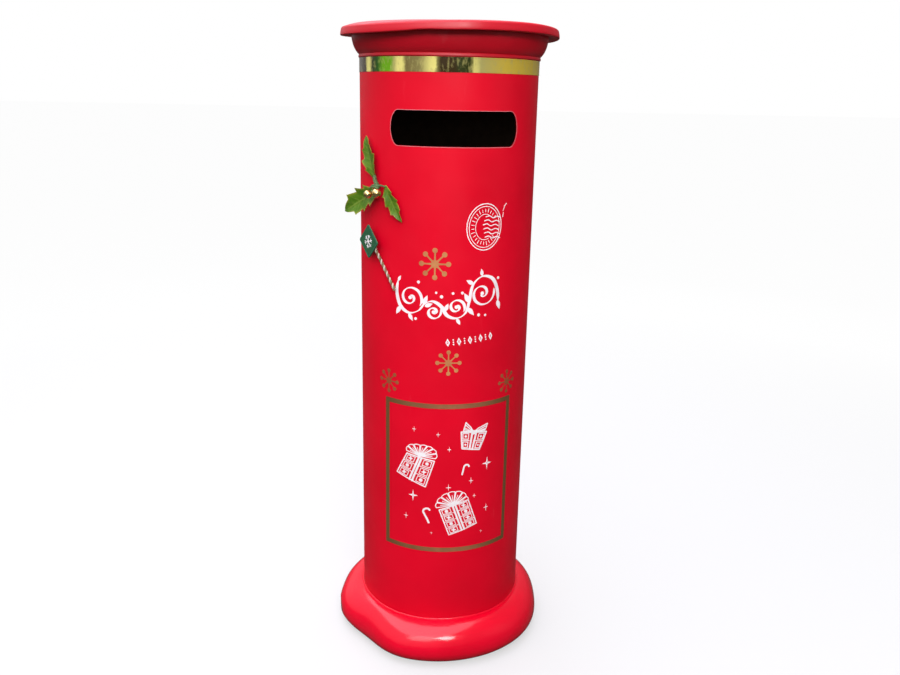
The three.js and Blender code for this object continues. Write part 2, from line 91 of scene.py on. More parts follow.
# ---- Materials ----
class Look:
    """A Principled material and short ways to wire nodes into it."""

    def __init__(self, name, color, rough, metal=0.0, specular=0.5, coat=0.0, coat_rough=0.1):
        self.material = bpy.data.materials.new(name)
        self.material.use_nodes = True
        self.tree = self.material.node_tree
        self.shader = self.tree.nodes["Principled BSDF"]
        self.place = self.tree.nodes.new("ShaderNodeTexCoord").outputs["Object"]
        self.height = None
        self.set("Base Color", (*color, 1))
        self.set("Roughness", rough)
        self.set("Metallic", metal)
        self.set("Specular IOR Level", specular)
        self.set("Coat Weight", coat)
        self.set("Coat Roughness", coat_rough)
        self.material.diffuse_color = (*color, 1)

    def set(self, socket, value):
        self.shader.inputs[socket].default_value = value

    def node(self, kind, links=None, **settings):
        made = self.tree.nodes.new(kind)
        for key, value in settings.items():
            setattr(made, key, value)
        for key, value in (links or {}).items():
            if isinstance(value, bpy.types.NodeSocket):
                self.tree.links.new(value, made.inputs[key])
            else:
                made.inputs[key].default_value = value
        return made

    def stretched(self, scale):
        return self.node("ShaderNodeMapping", {"Vector": self.place, "Scale": scale}).outputs["Vector"]

    def noise(self, scale, detail=4.0, rough=0.5, stretch=None):
        where = self.stretched(stretch) if stretch else self.place
        links = {"Vector": where, "Scale": scale, "Detail": detail, "Roughness": rough}
        return self.node("ShaderNodeTexNoise", links).outputs["Fac"]

    def azimuth(self):
        """The angle round Z, in turns, from -0.5 to 0.5."""
        split = self.node("ShaderNodeSeparateXYZ", {"Vector": self.place})
        back = self.math("MULTIPLY", split.outputs["Y"], -1.0)
        return self.math("DIVIDE", self.math("ARCTAN2", split.outputs["X"], back), TURN)

    def math(self, operation, first, second=0.0):
        return self.node("ShaderNodeMath", {0: first, 1: second}, operation=operation).outputs[0]

    def remap(self, value, low, high, to_low=0.0, to_high=1.0):
        links = {"Value": value, "From Min": low, "From Max": high, "To Min": to_low, "To Max": to_high}
        return self.node("ShaderNodeMapRange", links).outputs["Result"]

    def ramp(self, value, stops):
        made = self.node("ShaderNodeValToRGB", {"Fac": value})
        made.color_ramp.interpolation = "LINEAR"
        elements = made.color_ramp.elements
        elements.remove(elements[-1])
        elements[0].position, elements[0].color = stops[0][0], (*stops[0][1], 1)
        for position, color in stops[1:]:
            elements.new(position).color = (*color, 1)
        return made.outputs["Color"]

    def mix(self, fac, first, second):
        def shade(value):
            return value if isinstance(value, bpy.types.NodeSocket) else (*value, 1)

        made = self.node("ShaderNodeMix", data_type="RGBA")
        for socket, value in (("Factor_Float", fac), ("A_Color", shade(first)), ("B_Color", shade(second))):
            target = next(s for s in made.inputs if s.identifier == socket)
            if isinstance(value, bpy.types.NodeSocket):
                self.tree.links.new(value, target)
            else:
                target.default_value = value
        return next(s for s in made.outputs if s.identifier == "Result_Color")

    def wire(self, output, socket):
        self.tree.links.new(output, self.shader.inputs[socket])

    def paint(self, color):
        self.wire(color, "Base Color")

    def roughen(self, value, low, high, smooth, coarse):
        self.wire(self.remap(value, low, high, smooth, coarse), "Roughness")

    def bump(self, height, strength, distance):
        links = {"Height": height, "Strength": strength, "Distance": distance}
        if self.height:
            links["Normal"] = self.height
        self.height = self.node("ShaderNodeBump", links).outputs["Normal"]
        self.wire(self.height, "Normal")


RED = (0.76, 0.0008, 0.018)
DEEP_RED = (0.64, 0.0006, 0.014)


def red_paint(name="red_paint", shade=1.0, specular=0.2):
    """Satin paint rolled on cardboard: faint blotches, orange peel, and dusty rub marks. A shade below 1 gives
    a darker copy of the same paint, as painted shade.
    """
    light = tuple(c * shade for c in RED)
    look = Look(name, light, 0.42, specular=specular)
    blotch = look.remap(look.noise(5, 3), 0.35, 0.7)
    color = look.mix(blotch, light, tuple(c * shade for c in DEEP_RED))
    rub = look.remap(look.noise(30, 6, 0.6, stretch=(1, 1, 0.25)), 0.66, 0.8, 0.0, 0.16)
    look.paint(look.mix(rub, color, (0.85 * shade, 0.12, 0.14)))
    look.roughen(look.noise(18, 5), 0.3, 0.7, 0.36, 0.5)
    look.bump(look.noise(3.5, 2, stretch=(1, 1, 0.5)), 0.25, 0.004)
    look.bump(look.noise(420, 2), 0.06, 0.0006)
    return look.material


def gloss_red():
    """Thick brushed gloss over a lumpy foot."""
    look = Look("gloss_red", (0.76, 0.0008, 0.02), 0.2, specular=0.3, coat=0.32, coat_rough=0.1)
    blotch = look.remap(look.noise(7, 3), 0.35, 0.7)
    look.paint(look.mix(blotch, (0.78, 0.0008, 0.022), (0.66, 0.0006, 0.016)))
    look.roughen(look.noise(24, 4), 0.3, 0.75, 0.12, 0.25)
    look.bump(look.noise(9, 3), 0.35, 0.006)
    look.bump(look.noise(55, 4), 0.2, 0.002)
    return look.material


# Painted reflections in the mirror foil: the colours of its streaks, besides the foil's own gold.
REFLECTED_BROWN, REFLECTED_DARK = (0.05, 0.028, 0.006), (0.035, 0.045, 0.006)
REFLECTED_PALE, REFLECTED_KHAKI = (1.0, 0.90, 0.26), (0.56, 0.50, 0.16)
REFLECTED_UMBER = (0.30, 0.19, 0.05)
REFLECTED_GREEN, FOIL_GOLD = (0.17, 0.46, 0.004), (0.80, 0.58, 0.07)
# Painted reflections round the foil: azimuth in degrees and colour, between stretches of the foil's own gold.
FOIL_PAINTED_REFLECTIONS = [(-130, FOIL_GOLD), (-112, REFLECTED_DARK), (-96, REFLECTED_UMBER), (-75, REFLECTED_BROWN), (-67, REFLECTED_BROWN),
                (-65.5, REFLECTED_PALE), (-61.5, REFLECTED_PALE), (-59, REFLECTED_DARK), (-53, (0.02, 0.10, 0.002)),
                (-48, REFLECTED_GREEN), (-42, REFLECTED_GREEN), (-39, REFLECTED_KHAKI), (-37, REFLECTED_PALE), (-33, REFLECTED_PALE),
                (-31, (0.22, 0.17, 0.05)), (-22, (0.30, 0.25, 0.08)), (-15, REFLECTED_PALE), (-12.5, REFLECTED_PALE),
                (-11, REFLECTED_BROWN), (-2, REFLECTED_BROWN), (1, REFLECTED_DARK), (8, REFLECTED_DARK), (10, REFLECTED_PALE),
                (14, REFLECTED_KHAKI), (30, FOIL_GOLD), (92, FOIL_GOLD), (104, REFLECTED_DARK), (116, REFLECTED_PALE),
                (128, REFLECTED_KHAKI), (150, FOIL_GOLD)]


def gold_foil():
    """Mirror tape. Pale, brown, green and dark streaks stand side by side round it, set by azimuth and mottled
    khaki by its wrinkles: painted reflections of the surroundings. Its creases run across the tape as bumps.
    """
    look = Look("gold_foil", FOIL_GOLD, 0.16, metal=0.38, specular=0.5)
    turned = look.azimuth()
    creases = look.node("ShaderNodeTexNoise", {"W": turned, "Scale": 30.0, "Detail": 3.0},
                        noise_dimensions="1D").outputs["Fac"]
    wrinkle = look.noise(150, 4, 0.65, stretch=(1, 1, 0.5))
    shifted = look.math("ADD", turned, look.remap(wrinkle, 0.2, 0.8, 0.4965, 0.5035))
    painted_reflections = look.ramp(shifted, [((degrees + 180) / 360, color) for degrees, color in FOIL_PAINTED_REFLECTIONS])
    mottled = look.mix(look.remap(wrinkle, 0.52, 0.68, 0.0, 0.55), painted_reflections, REFLECTED_KHAKI)
    look.paint(mottled)
    look.roughen(look.noise(60, 3), 0.3, 0.7, 0.1, 0.24)
    look.bump(creases, 0.4, 0.002)
    look.bump(wrinkle, 0.25, 0.001)
    return look.material


def gold_vinyl(name, front, side):
    """Gold film with painted light and shade: warm and bright where it faces forwards, and painted darker
    round the sides, by azimuth.
    """
    look = Look(name, front, 0.38, metal=0.25, specular=0.5)
    turned = look.math("ABSOLUTE", look.azimuth())
    base = look.mix(look.remap(turned, 0.02, 0.115), front, side)
    look.paint(look.mix(look.remap(look.noise(40, 4), 0.35, 0.7, 0.0, 0.5), base, side))
    look.roughen(look.noise(90, 3), 0.3, 0.7, 0.3, 0.45)
    look.bump(look.noise(500, 2), 0.1, 0.0004)
    return look.material


def white_vinyl():
    look = Look("white_vinyl", (0.93, 0.88, 0.89), 0.42, specular=0.4)
    look.paint(look.mix(look.remap(look.noise(60, 4), 0.4, 0.8), (0.95, 0.90, 0.91), (0.86, 0.76, 0.78)))
    look.bump(look.noise(400, 2), 0.08, 0.0004)
    return look.material


def cardboard():
    """The bare inside of the tube: dark grey-brown board."""
    look = Look("cardboard_inside", (0.15, 0.10, 0.065), 0.95, specular=0.1)
    look.paint(look.mix(look.noise(50, 6), (0.17, 0.115, 0.075), (0.10, 0.065, 0.045)))
    look.bump(look.noise(180, 5), 0.4, 0.001)
    return look.material


def plywood():
    """Birch plywood: long grain on the faces and plies on the edge."""
    look = Look("plywood", (0.5, 0.34, 0.18), 0.65, specular=0.3)
    grain = look.noise(16, 8, 0.6, stretch=(1, 14, 4))
    ply = look.node("ShaderNodeTexWave", {"Vector": look.place, "Scale": 55.0, "Distortion": 1.2,
                                           "Detail": 2.0}, bands_direction="Z").outputs["Fac"]
    face = look.mix(look.remap(grain, 0.35, 0.7), (0.56, 0.39, 0.2), (0.36, 0.22, 0.1))
    look.paint(look.mix(look.remap(ply, 0.6, 1.0, 0.0, 0.35), face, (0.22, 0.13, 0.06)))
    look.bump(grain, 0.25, 0.0008)
    return look.material


def rubber():
    look = Look("rubber", (0.013, 0.013, 0.013), 0.85, specular=0.3)
    look.paint(look.mix(look.noise(120, 4), (0.018, 0.018, 0.018), (0.008, 0.008, 0.008)))
    look.bump(look.noise(700, 3), 0.3, 0.0005)
    return look.material


def zinc():
    """Bright zinc plate: crystalline patches and fine brushing."""
    look = Look("zinc", (0.6, 0.61, 0.63), 0.32, metal=1.0)
    patch = look.node("ShaderNodeTexVoronoi", {"Vector": look.place, "Scale": 260.0}).outputs["Distance"]
    look.paint(look.mix(look.remap(patch, 0.1, 0.8), (0.68, 0.69, 0.7), (0.5, 0.5, 0.49)))
    look.roughen(look.noise(300, 4, stretch=(1, 1, 12)), 0.3, 0.7, 0.24, 0.44)
    look.bump(look.noise(500, 3, stretch=(1, 1, 10)), 0.12, 0.0003)
    return look.material


def chrome():
    look = Look("chrome", (0.78, 0.79, 0.81), 0.1, metal=1.0)
    look.roughen(look.noise(220, 5), 0.35, 0.75, 0.06, 0.24)
    look.paint(look.mix(look.remap(look.noise(90, 4), 0.55, 0.8), (0.8, 0.81, 0.83), (0.55, 0.54, 0.5)))
    look.bump(look.noise(900, 2), 0.05, 0.0002)
    return look.material


def leaf_green():
    """Printed artificial leaf: pale veins, darker blade, and a yellow rim where the dye stops."""
    look = Look("leaf_green", (0.075, 0.19, 0.004), 0.42, specular=0.4)
    vein = look.node("ShaderNodeAttribute", attribute_name="vein").outputs["Color"]
    parts = look.node("ShaderNodeSeparateColor", {"Color": vein})
    blade = look.mix(look.remap(look.noise(70, 5), 0.35, 0.7), (0.05, 0.14, 0.002), (0.095, 0.2, 0.006))
    veined = look.mix(parts.outputs["Red"], blade, (0.17, 0.26, 0.03))
    look.paint(look.mix(parts.outputs["Green"], veined, (0.3, 0.28, 0.03)))
    look.roughen(look.noise(110, 4), 0.3, 0.7, 0.34, 0.55)
    look.bump(parts.outputs["Red"], 0.6, 0.0008)
    look.bump(look.noise(260, 4), 0.3, 0.0006)
    return look.material


def stem_green():
    look = Look("stem_green", (0.045, 0.12, 0.03), 0.85, specular=0.2)
    fibre = look.noise(240, 5, 0.6, stretch=(1, 1, 0.2))
    look.paint(look.mix(fibre, (0.15, 0.22, 0.10), (0.045, 0.10, 0.03)))
    look.bump(fibre, 0.6, 0.0008)
    return look.material


def berry_gold():
    look = Look("berry_gold", (0.86, 0.62, 0.24), 0.2, metal=1.0, coat=0.5)
    look.paint(look.mix(look.noise(90, 4), (0.92, 0.7, 0.3), (0.62, 0.4, 0.12)))
    look.roughen(look.noise(160, 4), 0.3, 0.7, 0.14, 0.34)
    look.bump(look.noise(320, 3), 0.2, 0.0005)
    return look.material


def sign_green():
    look = Look("sign_green", (0.012, 0.085, 0.035), 0.4, specular=0.4)
    grain = look.noise(90, 5, 0.6, stretch=(1, 1, 5))
    look.paint(look.mix(grain, (0.012, 0.07, 0.028), (0.035, 0.14, 0.06)))
    look.bump(grain, 0.25, 0.0006)
    return look.material


def sign_edge():
    look = Look("sign_edge", (0.035, 0.2, 0.12), 0.35, metal=0.3)
    look.paint(look.mix(look.noise(150, 4), (0.05, 0.25, 0.15), (0.02, 0.13, 0.07)))
    look.bump(look.noise(300, 3), 0.2, 0.0004)
    return look.material


def paper_strand(name, light, dark):
    look = Look(name, light, 0.6, specular=0.3)
    fibre = look.noise(260, 4, 0.6, stretch=(1, 1, 0.5))
    look.paint(look.mix(fibre, light, dark))
    look.bump(fibre, 0.4, 0.0005)
    return look.material


RED_PAINT = red_paint()
GLOSS_RED = gloss_red()
GOLD_FOIL = gold_foil()
# Each gold film's first colour is its painted lit front, and its second is its painted shade round the sides.
SNOW_GOLD = gold_vinyl("snowflake_gold", (0.74, 0.33, 0.12), (0.36, 0.10, 0.035))
LINE_GOLD = gold_vinyl("frame_gold", (0.42, 0.17, 0.075), (0.17, 0.09, 0.03))
# A darker copy of the same red paint, for the cornice and lid: painted shade under and round the cap.
SHADED_RED_PAINT = red_paint("shaded_red_paint", 0.72, 0.42)
WHITE_VINYL = white_vinyl()
CARDBOARD = cardboard()
# Pale pink for the painted highlight round the slot's edge.
PAINTED_EDGE_HIGHLIGHT = paper_strand("painted_edge_highlight", (0.62, 0.10, 0.14), (0.72, 0.26, 0.26))
PLYWOOD = plywood()
RUBBER = rubber()
ZINC = zinc()
CHROME = chrome()
LEAF_GREEN = leaf_green()
STEM_GREEN = stem_green()
BERRY_GOLD = berry_gold()
SIGN_GREEN = sign_green()
SIGN_EDGE = sign_edge()
GOLD_STRAND = paper_strand("strand_gold", (0.27, 0.19, 0.09), (0.13, 0.085, 0.035))
PALE_STRAND = paper_strand("strand_pale", (0.66, 0.60, 0.50), (0.42, 0.36, 0.28))


# ---- Mesh helpers ----
def piece(name, verts, faces, material, body="cabinet", stands_for=(), slot=None, sharp=38):
    """A closed mesh object that rides on a body and stands for CAD nodes."""
    mesh = bpy.data.meshes.new(name)
    mesh.from_pydata([tuple(v) for v in verts], [], faces)
    return finished(name, mesh, material, body, stands_for, sharp)


def linked(name, data):
    """A new object in the scene."""
    made = bpy.data.objects.new(name, data)
    bpy.context.scene.collection.objects.link(made)
    return made


def faced_out(mesh, merge=False):
    """Turns every face outwards, after merging the corners that lie on each other if merge is set."""
    work = bmesh.new()
    work.from_mesh(mesh)
    if merge:
        bmesh.ops.remove_doubles(work, verts=work.verts, dist=1e-7)
    bmesh.ops.recalc_face_normals(work, faces=work.faces)
    work.to_mesh(mesh)
    work.free()
    return mesh


def smoothed(mesh, sharp):
    """Smooth shading, except at edges sharper than this angle in degrees."""
    mesh.shade_smooth()
    mesh.set_sharp_from_angle(angle=math.radians(sharp))


def finished(name, mesh, material, body="cabinet", stands_for=(), sharp=38):
    smoothed(faced_out(mesh, merge=True), sharp)
    made = linked(name, mesh)
    for one in material if isinstance(material, (list, tuple)) else [material]:
        mesh.materials.append(one)
    adopt(made, body, stands_for)
    return made


def adopt(made, body, stands_for):
    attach(made, body)
    if stands_for:
        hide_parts(*stands_for)


def arc(centre, radii, start, end, steps):
    """Profile points along part of an ellipse, angles in degrees."""
    out = []
    for i in range(steps + 1):
        angle = math.radians(start + (end - start) * i / steps)
        out.append((centre[0] + radii[0] * math.cos(angle), centre[1] + radii[1] * math.sin(angle)))
    return out


def lathe(profile, sides=FINE, warp=None):
    """Turns (radius, height) points about Z. A profile that ends on the axis is closed there, any other
    joins its last point to its first. warp(azimuth, radius, height) moves each point."""
    verts, rows = [], []
    for r, z in profile:
        if r < 1e-9:
            rows.append([len(verts)] * sides)
            verts.append(Vector((0, 0, z)))
            continue
        rows.append(list(range(len(verts), len(verts) + sides)))
        for i in range(sides):
            azimuth = TURN * i / sides
            rr, zz = warp(azimuth, r, z) if warp else (r, z)
            verts.append(polar(azimuth, rr, zz))
    faces = []
    on_axis = profile[0][0] < 1e-9 and profile[-1][0] < 1e-9
    for k in range(len(rows) - 1 if on_axis else len(rows)):
        low, high = rows[k], rows[(k + 1) % len(rows)]
        for i in range(sides):
            j = (i + 1) % sides
            corners = [low[i], low[j], high[j], high[i]]
            unique = list(dict.fromkeys(corners))
            if len(unique) > 2:
                faces.append(unique)
    return verts, faces


def sector(inner, outer, centre, half, bottom, top, steps=64):
    """A curved plate as verts and faces, in one grid so that its surfaces are smooth."""
    verts, faces = [], []
    for i in range(steps + 1):
        azimuth = centre - half + 2 * half * i / steps
        section = ((inner, bottom), (outer, bottom), (outer, top), (inner, top))
        verts += [polar(azimuth, r, z) for r, z in section]
    for i in range(steps):
        for k in range(4):
            a, b = 4 * i + k, 4 * i + (k + 1) % 4
            faces.append([a, b, b + 4, a + 4])
    faces += [[0, 1, 2, 3], [4 * steps + k for k in range(4)]]
    return verts, faces


def prism(outline, low, high):
    """A closed prism: outline is flat (x, y) points, extruded along z."""
    count = len(outline)
    verts = [Vector((x, y, low)) for x, y in outline] + [Vector((x, y, high)) for x, y in outline]
    faces = [list(range(count)), list(range(2 * count - 1, count - 1, -1))]
    faces += [[i, (i + 1) % count, (i + 1) % count + count, i + count] for i in range(count)]
    return verts, faces


def moved(shape, matrix):
    verts, faces = shape
    return [matrix @ Vector(v) for v in verts], faces


def joined(*shapes):
    verts, faces = [], []
    for more_verts, more_faces in shapes:
        base = len(verts)
        verts += more_verts
        faces += [[i + base for i in face] for face in more_faces]
    return verts, faces


def raw_mesh(name, shape):
    mesh = bpy.data.meshes.new(name)
    mesh.from_pydata([tuple(v) for v in shape[0]], [], shape[1])
    return faced_out(mesh)


def carved(name, shape, cutters):
    """A mesh with other shapes cut from it, by exact booleans."""
    target = linked(name, raw_mesh(name, shape))
    tools = []
    for i, cutter in enumerate(cutters):
        tool_name = f"{name}_tool_{i}"
        tool = linked(tool_name, raw_mesh(tool_name, cutter))
        tools.append(tool)
        step = target.modifiers.new(f"cut_{i}", "BOOLEAN")
        step.operation = "DIFFERENCE"
        step.solver = "EXACT"
        step.object = tool
    bpy.context.view_layer.update()
    shown = target.evaluated_get(bpy.context.evaluated_depsgraph_get())
    mesh = bpy.data.meshes.new_from_object(shown)
    for tool in tools:
        bpy.data.objects.remove(tool)
    bpy.data.objects.remove(target)
    mesh.name = name
    return mesh


def round_normals(made, inner_material=None):
    """True round shading on the faces that look straight out of or into the Z axis."""
    mesh = made.data
    normals = [None] * len(mesh.loops)
    for face in mesh.polygons:
        centre = Vector((face.center.x, face.center.y, 0)).normalized()
        facing = face.normal.dot(centre)
        if facing < -0.9 and inner_material is not None:
            face.material_index = inner_material
        for loop in face.loop_indices:
            normal = face.normal
            if abs(facing) > 0.9:
                corner = mesh.vertices[mesh.loops[loop].vertex_index].co
                normal = Vector((corner.x, corner.y, 0)).normalized() * (1 if facing > 0 else -1)
            normals[loop] = tuple(normal)
    mesh.normals_split_custom_set(normals)


def softened(made, width):
    """A small rounded edge on a hard-edged piece."""
    edge = made.modifiers.new("soft_edge", "BEVEL")
    edge.width = width
    edge.segments = 2
    edge.limit_method = "ANGLE"
    edge.angle_limit = math.radians(40)
    edge.harden_normals = False
    return made


def rounded_box(width, height, radius, steps=5):
    """A flat rectangle outline with round corners."""
    out = []
    corners = ((1, 1, 0), (-1, 1, 90), (-1, -1, 180), (1, -1, 270))
    for sx, sy, start in corners:
        centre = (sx * (width / 2 - radius), sy * (height / 2 - radius))
        out += arc(centre, (radius, radius), start, start + 90, steps)
    return out


def disc_outline(radius, steps=32):
    return arc((0, 0), (radius, radius), 0, 360 - 360 / steps, steps - 1)


# ---- The body tube, with its slot and rear doorway ----
SLOT_Z = 1101.9 * MM
SLOT_HALF_H = 31.6 * MM
SLOT_STRAIGHT = 103.6 * MM
SLOT_END = 13.1 * MM


def slot_outline(grow=0.0):
    ends = (SLOT_END + grow, SLOT_HALF_H + grow)
    return arc((SLOT_STRAIGHT, 0), ends, -90, 90, 28) + arc((-SLOT_STRAIGHT, 0), ends, 90, 270, 28)


def add_body_tube():
    inner = TUBE_R - WALL
    wall = [(inner, TUBE_LOW.z), (TUBE_R, TUBE_LOW.z), (TUBE_R, TUBE_HIGH.z), (inner, TUBE_HIGH.z)]
    slot = moved(prism(slot_outline(), -90 * MM, 30 * MM), wall_frame(0, SLOT_Z))
    doorway = sector(TUBE_R - 20 * MM, TUBE_R + 20 * MM, REAR, DOOR_HALF + DOOR_GAP,
                     DOOR_LOW.z - 0.4 * MM, DOOR_HIGH.z + 0.4 * MM)
    mesh = carved("body_tube_skin", lathe(wall, 288), [slot, doorway])
    made = finished("body_tube_skin", mesh, [RED_PAINT, CARDBOARD], "cabinet", ["body_tube"])
    round_normals(made, inner_material=1)


def add_slot_edge():
    """A thin pale pink line all round the slot on the wall: a painted highlight where the slot's edge catches
    light.
    """
    art = Art(0, SLOT_Z / MM)
    corners = slot_outline(0.6 * MM)
    rim = []
    for a, b in zip(corners, corners[1:] + corners[:1]):
        count = max(1, round(math.dist(a, b) / (2 * MM)))
        for i in range(count):
            x, y = (a[k] + (b[k] - a[k]) * i / count for k in (0, 1))
            rim.append((TUBE_R * math.asin(x / TUBE_R) / MM, y / MM))
    art.stroke(rim, 1.0, closed=True, step=1.5)
    art.add("slot_painted_highlight", PAINTED_EDGE_HIGHLIGHT, (), "red_paint")


# ---- The foot ----
# The foot's lumps and hollows: azimuth in degrees, half width in degrees, height in millimetres.
LUMPS = [(-82, 14, 6.0), (-53, 14, -10.5), (-26, 12, 3.2), (10, 16, -2.0), (50, 14, 1.5), (85, 16, -4.5),
         (122, 15, 2.0), (158, 14, -3.5), (-168, 12, 1.5), (-135, 16, -4.0), (-108, 9, 1.5)]


def foot_warp(azimuth, radius, height):
    """The foot is lumpy, most of all at its widest."""
    inner = TUBE_R + 12 * MM
    reach = max(0.0, (radius - inner) / (RING_HIGH.x - inner))
    lump = -3.7
    for centre, half, rise in LUMPS:
        gap = (math.degrees(azimuth) - centre + 180) % 360 - 180
        lump += rise * math.exp(-((gap / half) ** 2))
    r = min(RING_HIGH.x, radius + reach * lump * MM)
    sag = 0.5 * math.sin(5 * azimuth + 1) + 0.35 * math.sin(3 * azimuth + 2) - 0.5
    return r, max(height + sag * 1.6 * MM * (height / RING_HIGH.z) ** 2, RING_LOW.z)


def add_foot():
    inner = TUBE_R + 0.5 * MM
    widest = 32 * MM
    crest = 170 * MM
    toe = 190 * MM
    top = RING_HIGH.z - 0.8 * MM
    lower = arc((toe, widest), (RING_HIGH.x - toe, widest - RING_LOW.z), -90, 0, 20)
    upper = [p for p in arc((crest, widest), (RING_HIGH.x - crest, top - widest), 0, 90, 34)[1:]
             if p[0] > inner + 2.6 * MM]
    bead = arc((inner, upper[-1][1] - 0.2 * MM), (2.4 * MM, 2.2 * MM), 0, 90, 5)
    profile = [(inner, RING_LOW.z)] + lower + upper + bead
    verts, faces = lathe(profile, FINE, foot_warp)
    piece("foot_ring_skin", verts, faces, GLOSS_RED, "cabinet", ["base_ring"], "gloss_red")
    for i in range(4):
        name = f"foot_pad_{i + 1}"
        centre = middle(name)
        low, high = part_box(name)
        radius = (high.x - low.x) / 2
        profile = [(0, low.z), *arc((radius - 1.2 * MM, low.z + 1.2 * MM), (1.2 * MM, 1.2 * MM), -90, 0, 5),
                   (radius, high.z), (0, high.z)]
        shape = moved(lathe(profile, 40), Matrix.Translation((centre.x, centre.y, 0)))
        piece(f"{name}_rubber", *shape, RUBBER, "cabinet", [name], "rubber")


# ---- The head: cornice, lid and foil band ----
def add_cornice():
    inner = TUBE_R + 0.5 * MM
    low, high, wide = CORNICE_LOW.z, CORNICE_HIGH.z, CORNICE_HIGH.x
    lip = 177.5 * MM
    lip_top = low + 6 * MM
    foot = lip - 1.2 * MM
    bead = [(lip - 0.8 * MM, low + 0.2 * MM), (lip, low + 1.0 * MM), (lip - 0.1 * MM, low + 3.6 * MM),
            (lip - 0.5 * MM, lip_top - 1.0 * MM), (foot, lip_top)]
    flare = []
    for i in range(1, 25):
        t = i / 24
        flare.append((foot + (wide - foot) * (1.75 * t * (1 - t) + t * t),
                      lip_top + (high - lip_top) * (0.6 * t * (1 - t) + t * t)))
    profile = [(inner, low + 0.2 * MM), *bead, *flare, (inner, high)]

    def wobble(azimuth, radius, height):
        return radius - 0.25 * MM * (1 + math.sin(3 * azimuth + 0.6)), height

    verts, faces = lathe(profile, FINE, wobble)
    # The cornice takes the darker red copy: painted shade under the lid's overhang.
    piece("cornice_skin", verts, faces, SHADED_RED_PAINT, "cabinet", ["cornice_ring"], "red_paint", sharp=30)


def cap_warp(azimuth, radius, height):
    """The lid's rim rises and falls twice round its edge, and it is thicker where it droops."""
    share = min(1.0, max(0.0, (radius - 194 * MM) / (12 * MM)))
    z = height + share * 2.9 * MM * math.cos(2 * (azimuth - math.radians(33)))
    if height < CAP_LOW_EDGE + 3 * MM:
        degrees = (math.degrees(azimuth) + 180) % 360 - 180
        z -= share * (2.6 + 0.6 * math.exp(-(((degrees + 47) / 18) ** 2))) * MM
        z += share * 1.4 * MM * math.exp(-(((degrees + 17) / 9) ** 2))
    ripple = share * (0.5 * math.sin(3 * azimuth + 2.2) - 0.6 + 0.25 * math.sin(11 * azimuth)) * MM
    return radius + ripple, z


CAP_LOW_EDGE = 1269.6 * MM


def add_lid():
    high, wide = CAP_HIGH.z, CAP_HIGH.x
    low = CAP_LOW_EDGE
    rim_top = low + 14 * MM
    under = [(r * MM, low) for r in (0, 60, 120, 160, 180, 194, 200, 206)]
    rim = arc((wide - 1.8 * MM, low + 1.8 * MM), (1.8 * MM, 1.8 * MM), -90, 0, 5)
    rim += [(wide - 0.6 * MM, low + 5 * MM), (wide - 1.4 * MM, low + 8 * MM)]
    rim += arc((wide - 7.4 * MM, rim_top - 6 * MM), (6 * MM, 6 * MM), 0, 80, 8)
    over = [(199 * MM, rim_top + 0.7 * MM), (192 * MM, rim_top + 1.4 * MM), (180 * MM, rim_top + 2.5 * MM)]
    over += [(r * MM, high) for r in (168, 120, 60, 0)]
    cutters = []
    for i in range(4):
        at = middle(f"cap_screw_{i + 1}")
        spot = Matrix.Translation((at.x, at.y, 0))
        cutters.append(moved(prism(disc_outline(5.2 * MM, 32), high - 2.6 * MM, high + 5 * MM), spot))
        cutters.append(moved(prism(disc_outline(2.6 * MM, 24), low - 5 * MM, high + 5 * MM), spot))
    mesh = carved("lid_skin", lathe(under + rim + over, FINE, cap_warp), cutters)
    # The lid takes the same darker red copy: painted shade.
    finished("lid_skin", mesh, SHADED_RED_PAINT, "cabinet", ["cap_disc"], sharp=32)


def add_band():
    """Foil tape with shallow creases down it."""
    chance = random.Random(7)
    steps = 360
    creases = [(chance.uniform(0, TURN), chance.uniform(0.006, 0.03), chance.uniform(-0.16, 0.2))
               for _ in range(60)]

    def crease(azimuth, share):
        total = 0.0
        for place, width, depth in creases:
            gap = (azimuth - place + math.pi) % TURN - math.pi
            total += depth * math.exp(-((gap / width) ** 2)) * (0.4 + 0.6 * share)
        return min(0.32, max(-0.1, total)) * MM

    rows = 7
    verts, faces = [], []
    for i in range(steps):
        azimuth = TURN * i / steps
        for j in range(rows):
            share = j / (rows - 1)
            z = BAND_LOW.z + (BAND_HIGH.z - BAND_LOW.z) * share
            verts.append(polar(azimuth, TUBE_R + 0.55 * MM + crease(azimuth, share), z))
        verts.append(polar(azimuth, TUBE_R + 0.1 * MM, BAND_HIGH.z))
        verts.append(polar(azimuth, TUBE_R + 0.1 * MM, BAND_LOW.z))
    per = rows + 2
    for i in range(steps):
        here, there = i * per, ((i + 1) % steps) * per
        for k in range(per):
            faces.append([here + k, there + k, there + (k + 1) % per, here + (k + 1) % per])
    piece("foil_band_skin", verts, faces, GOLD_FOIL, "cabinet", ["gold_band"], "gold_foil", sharp=50)


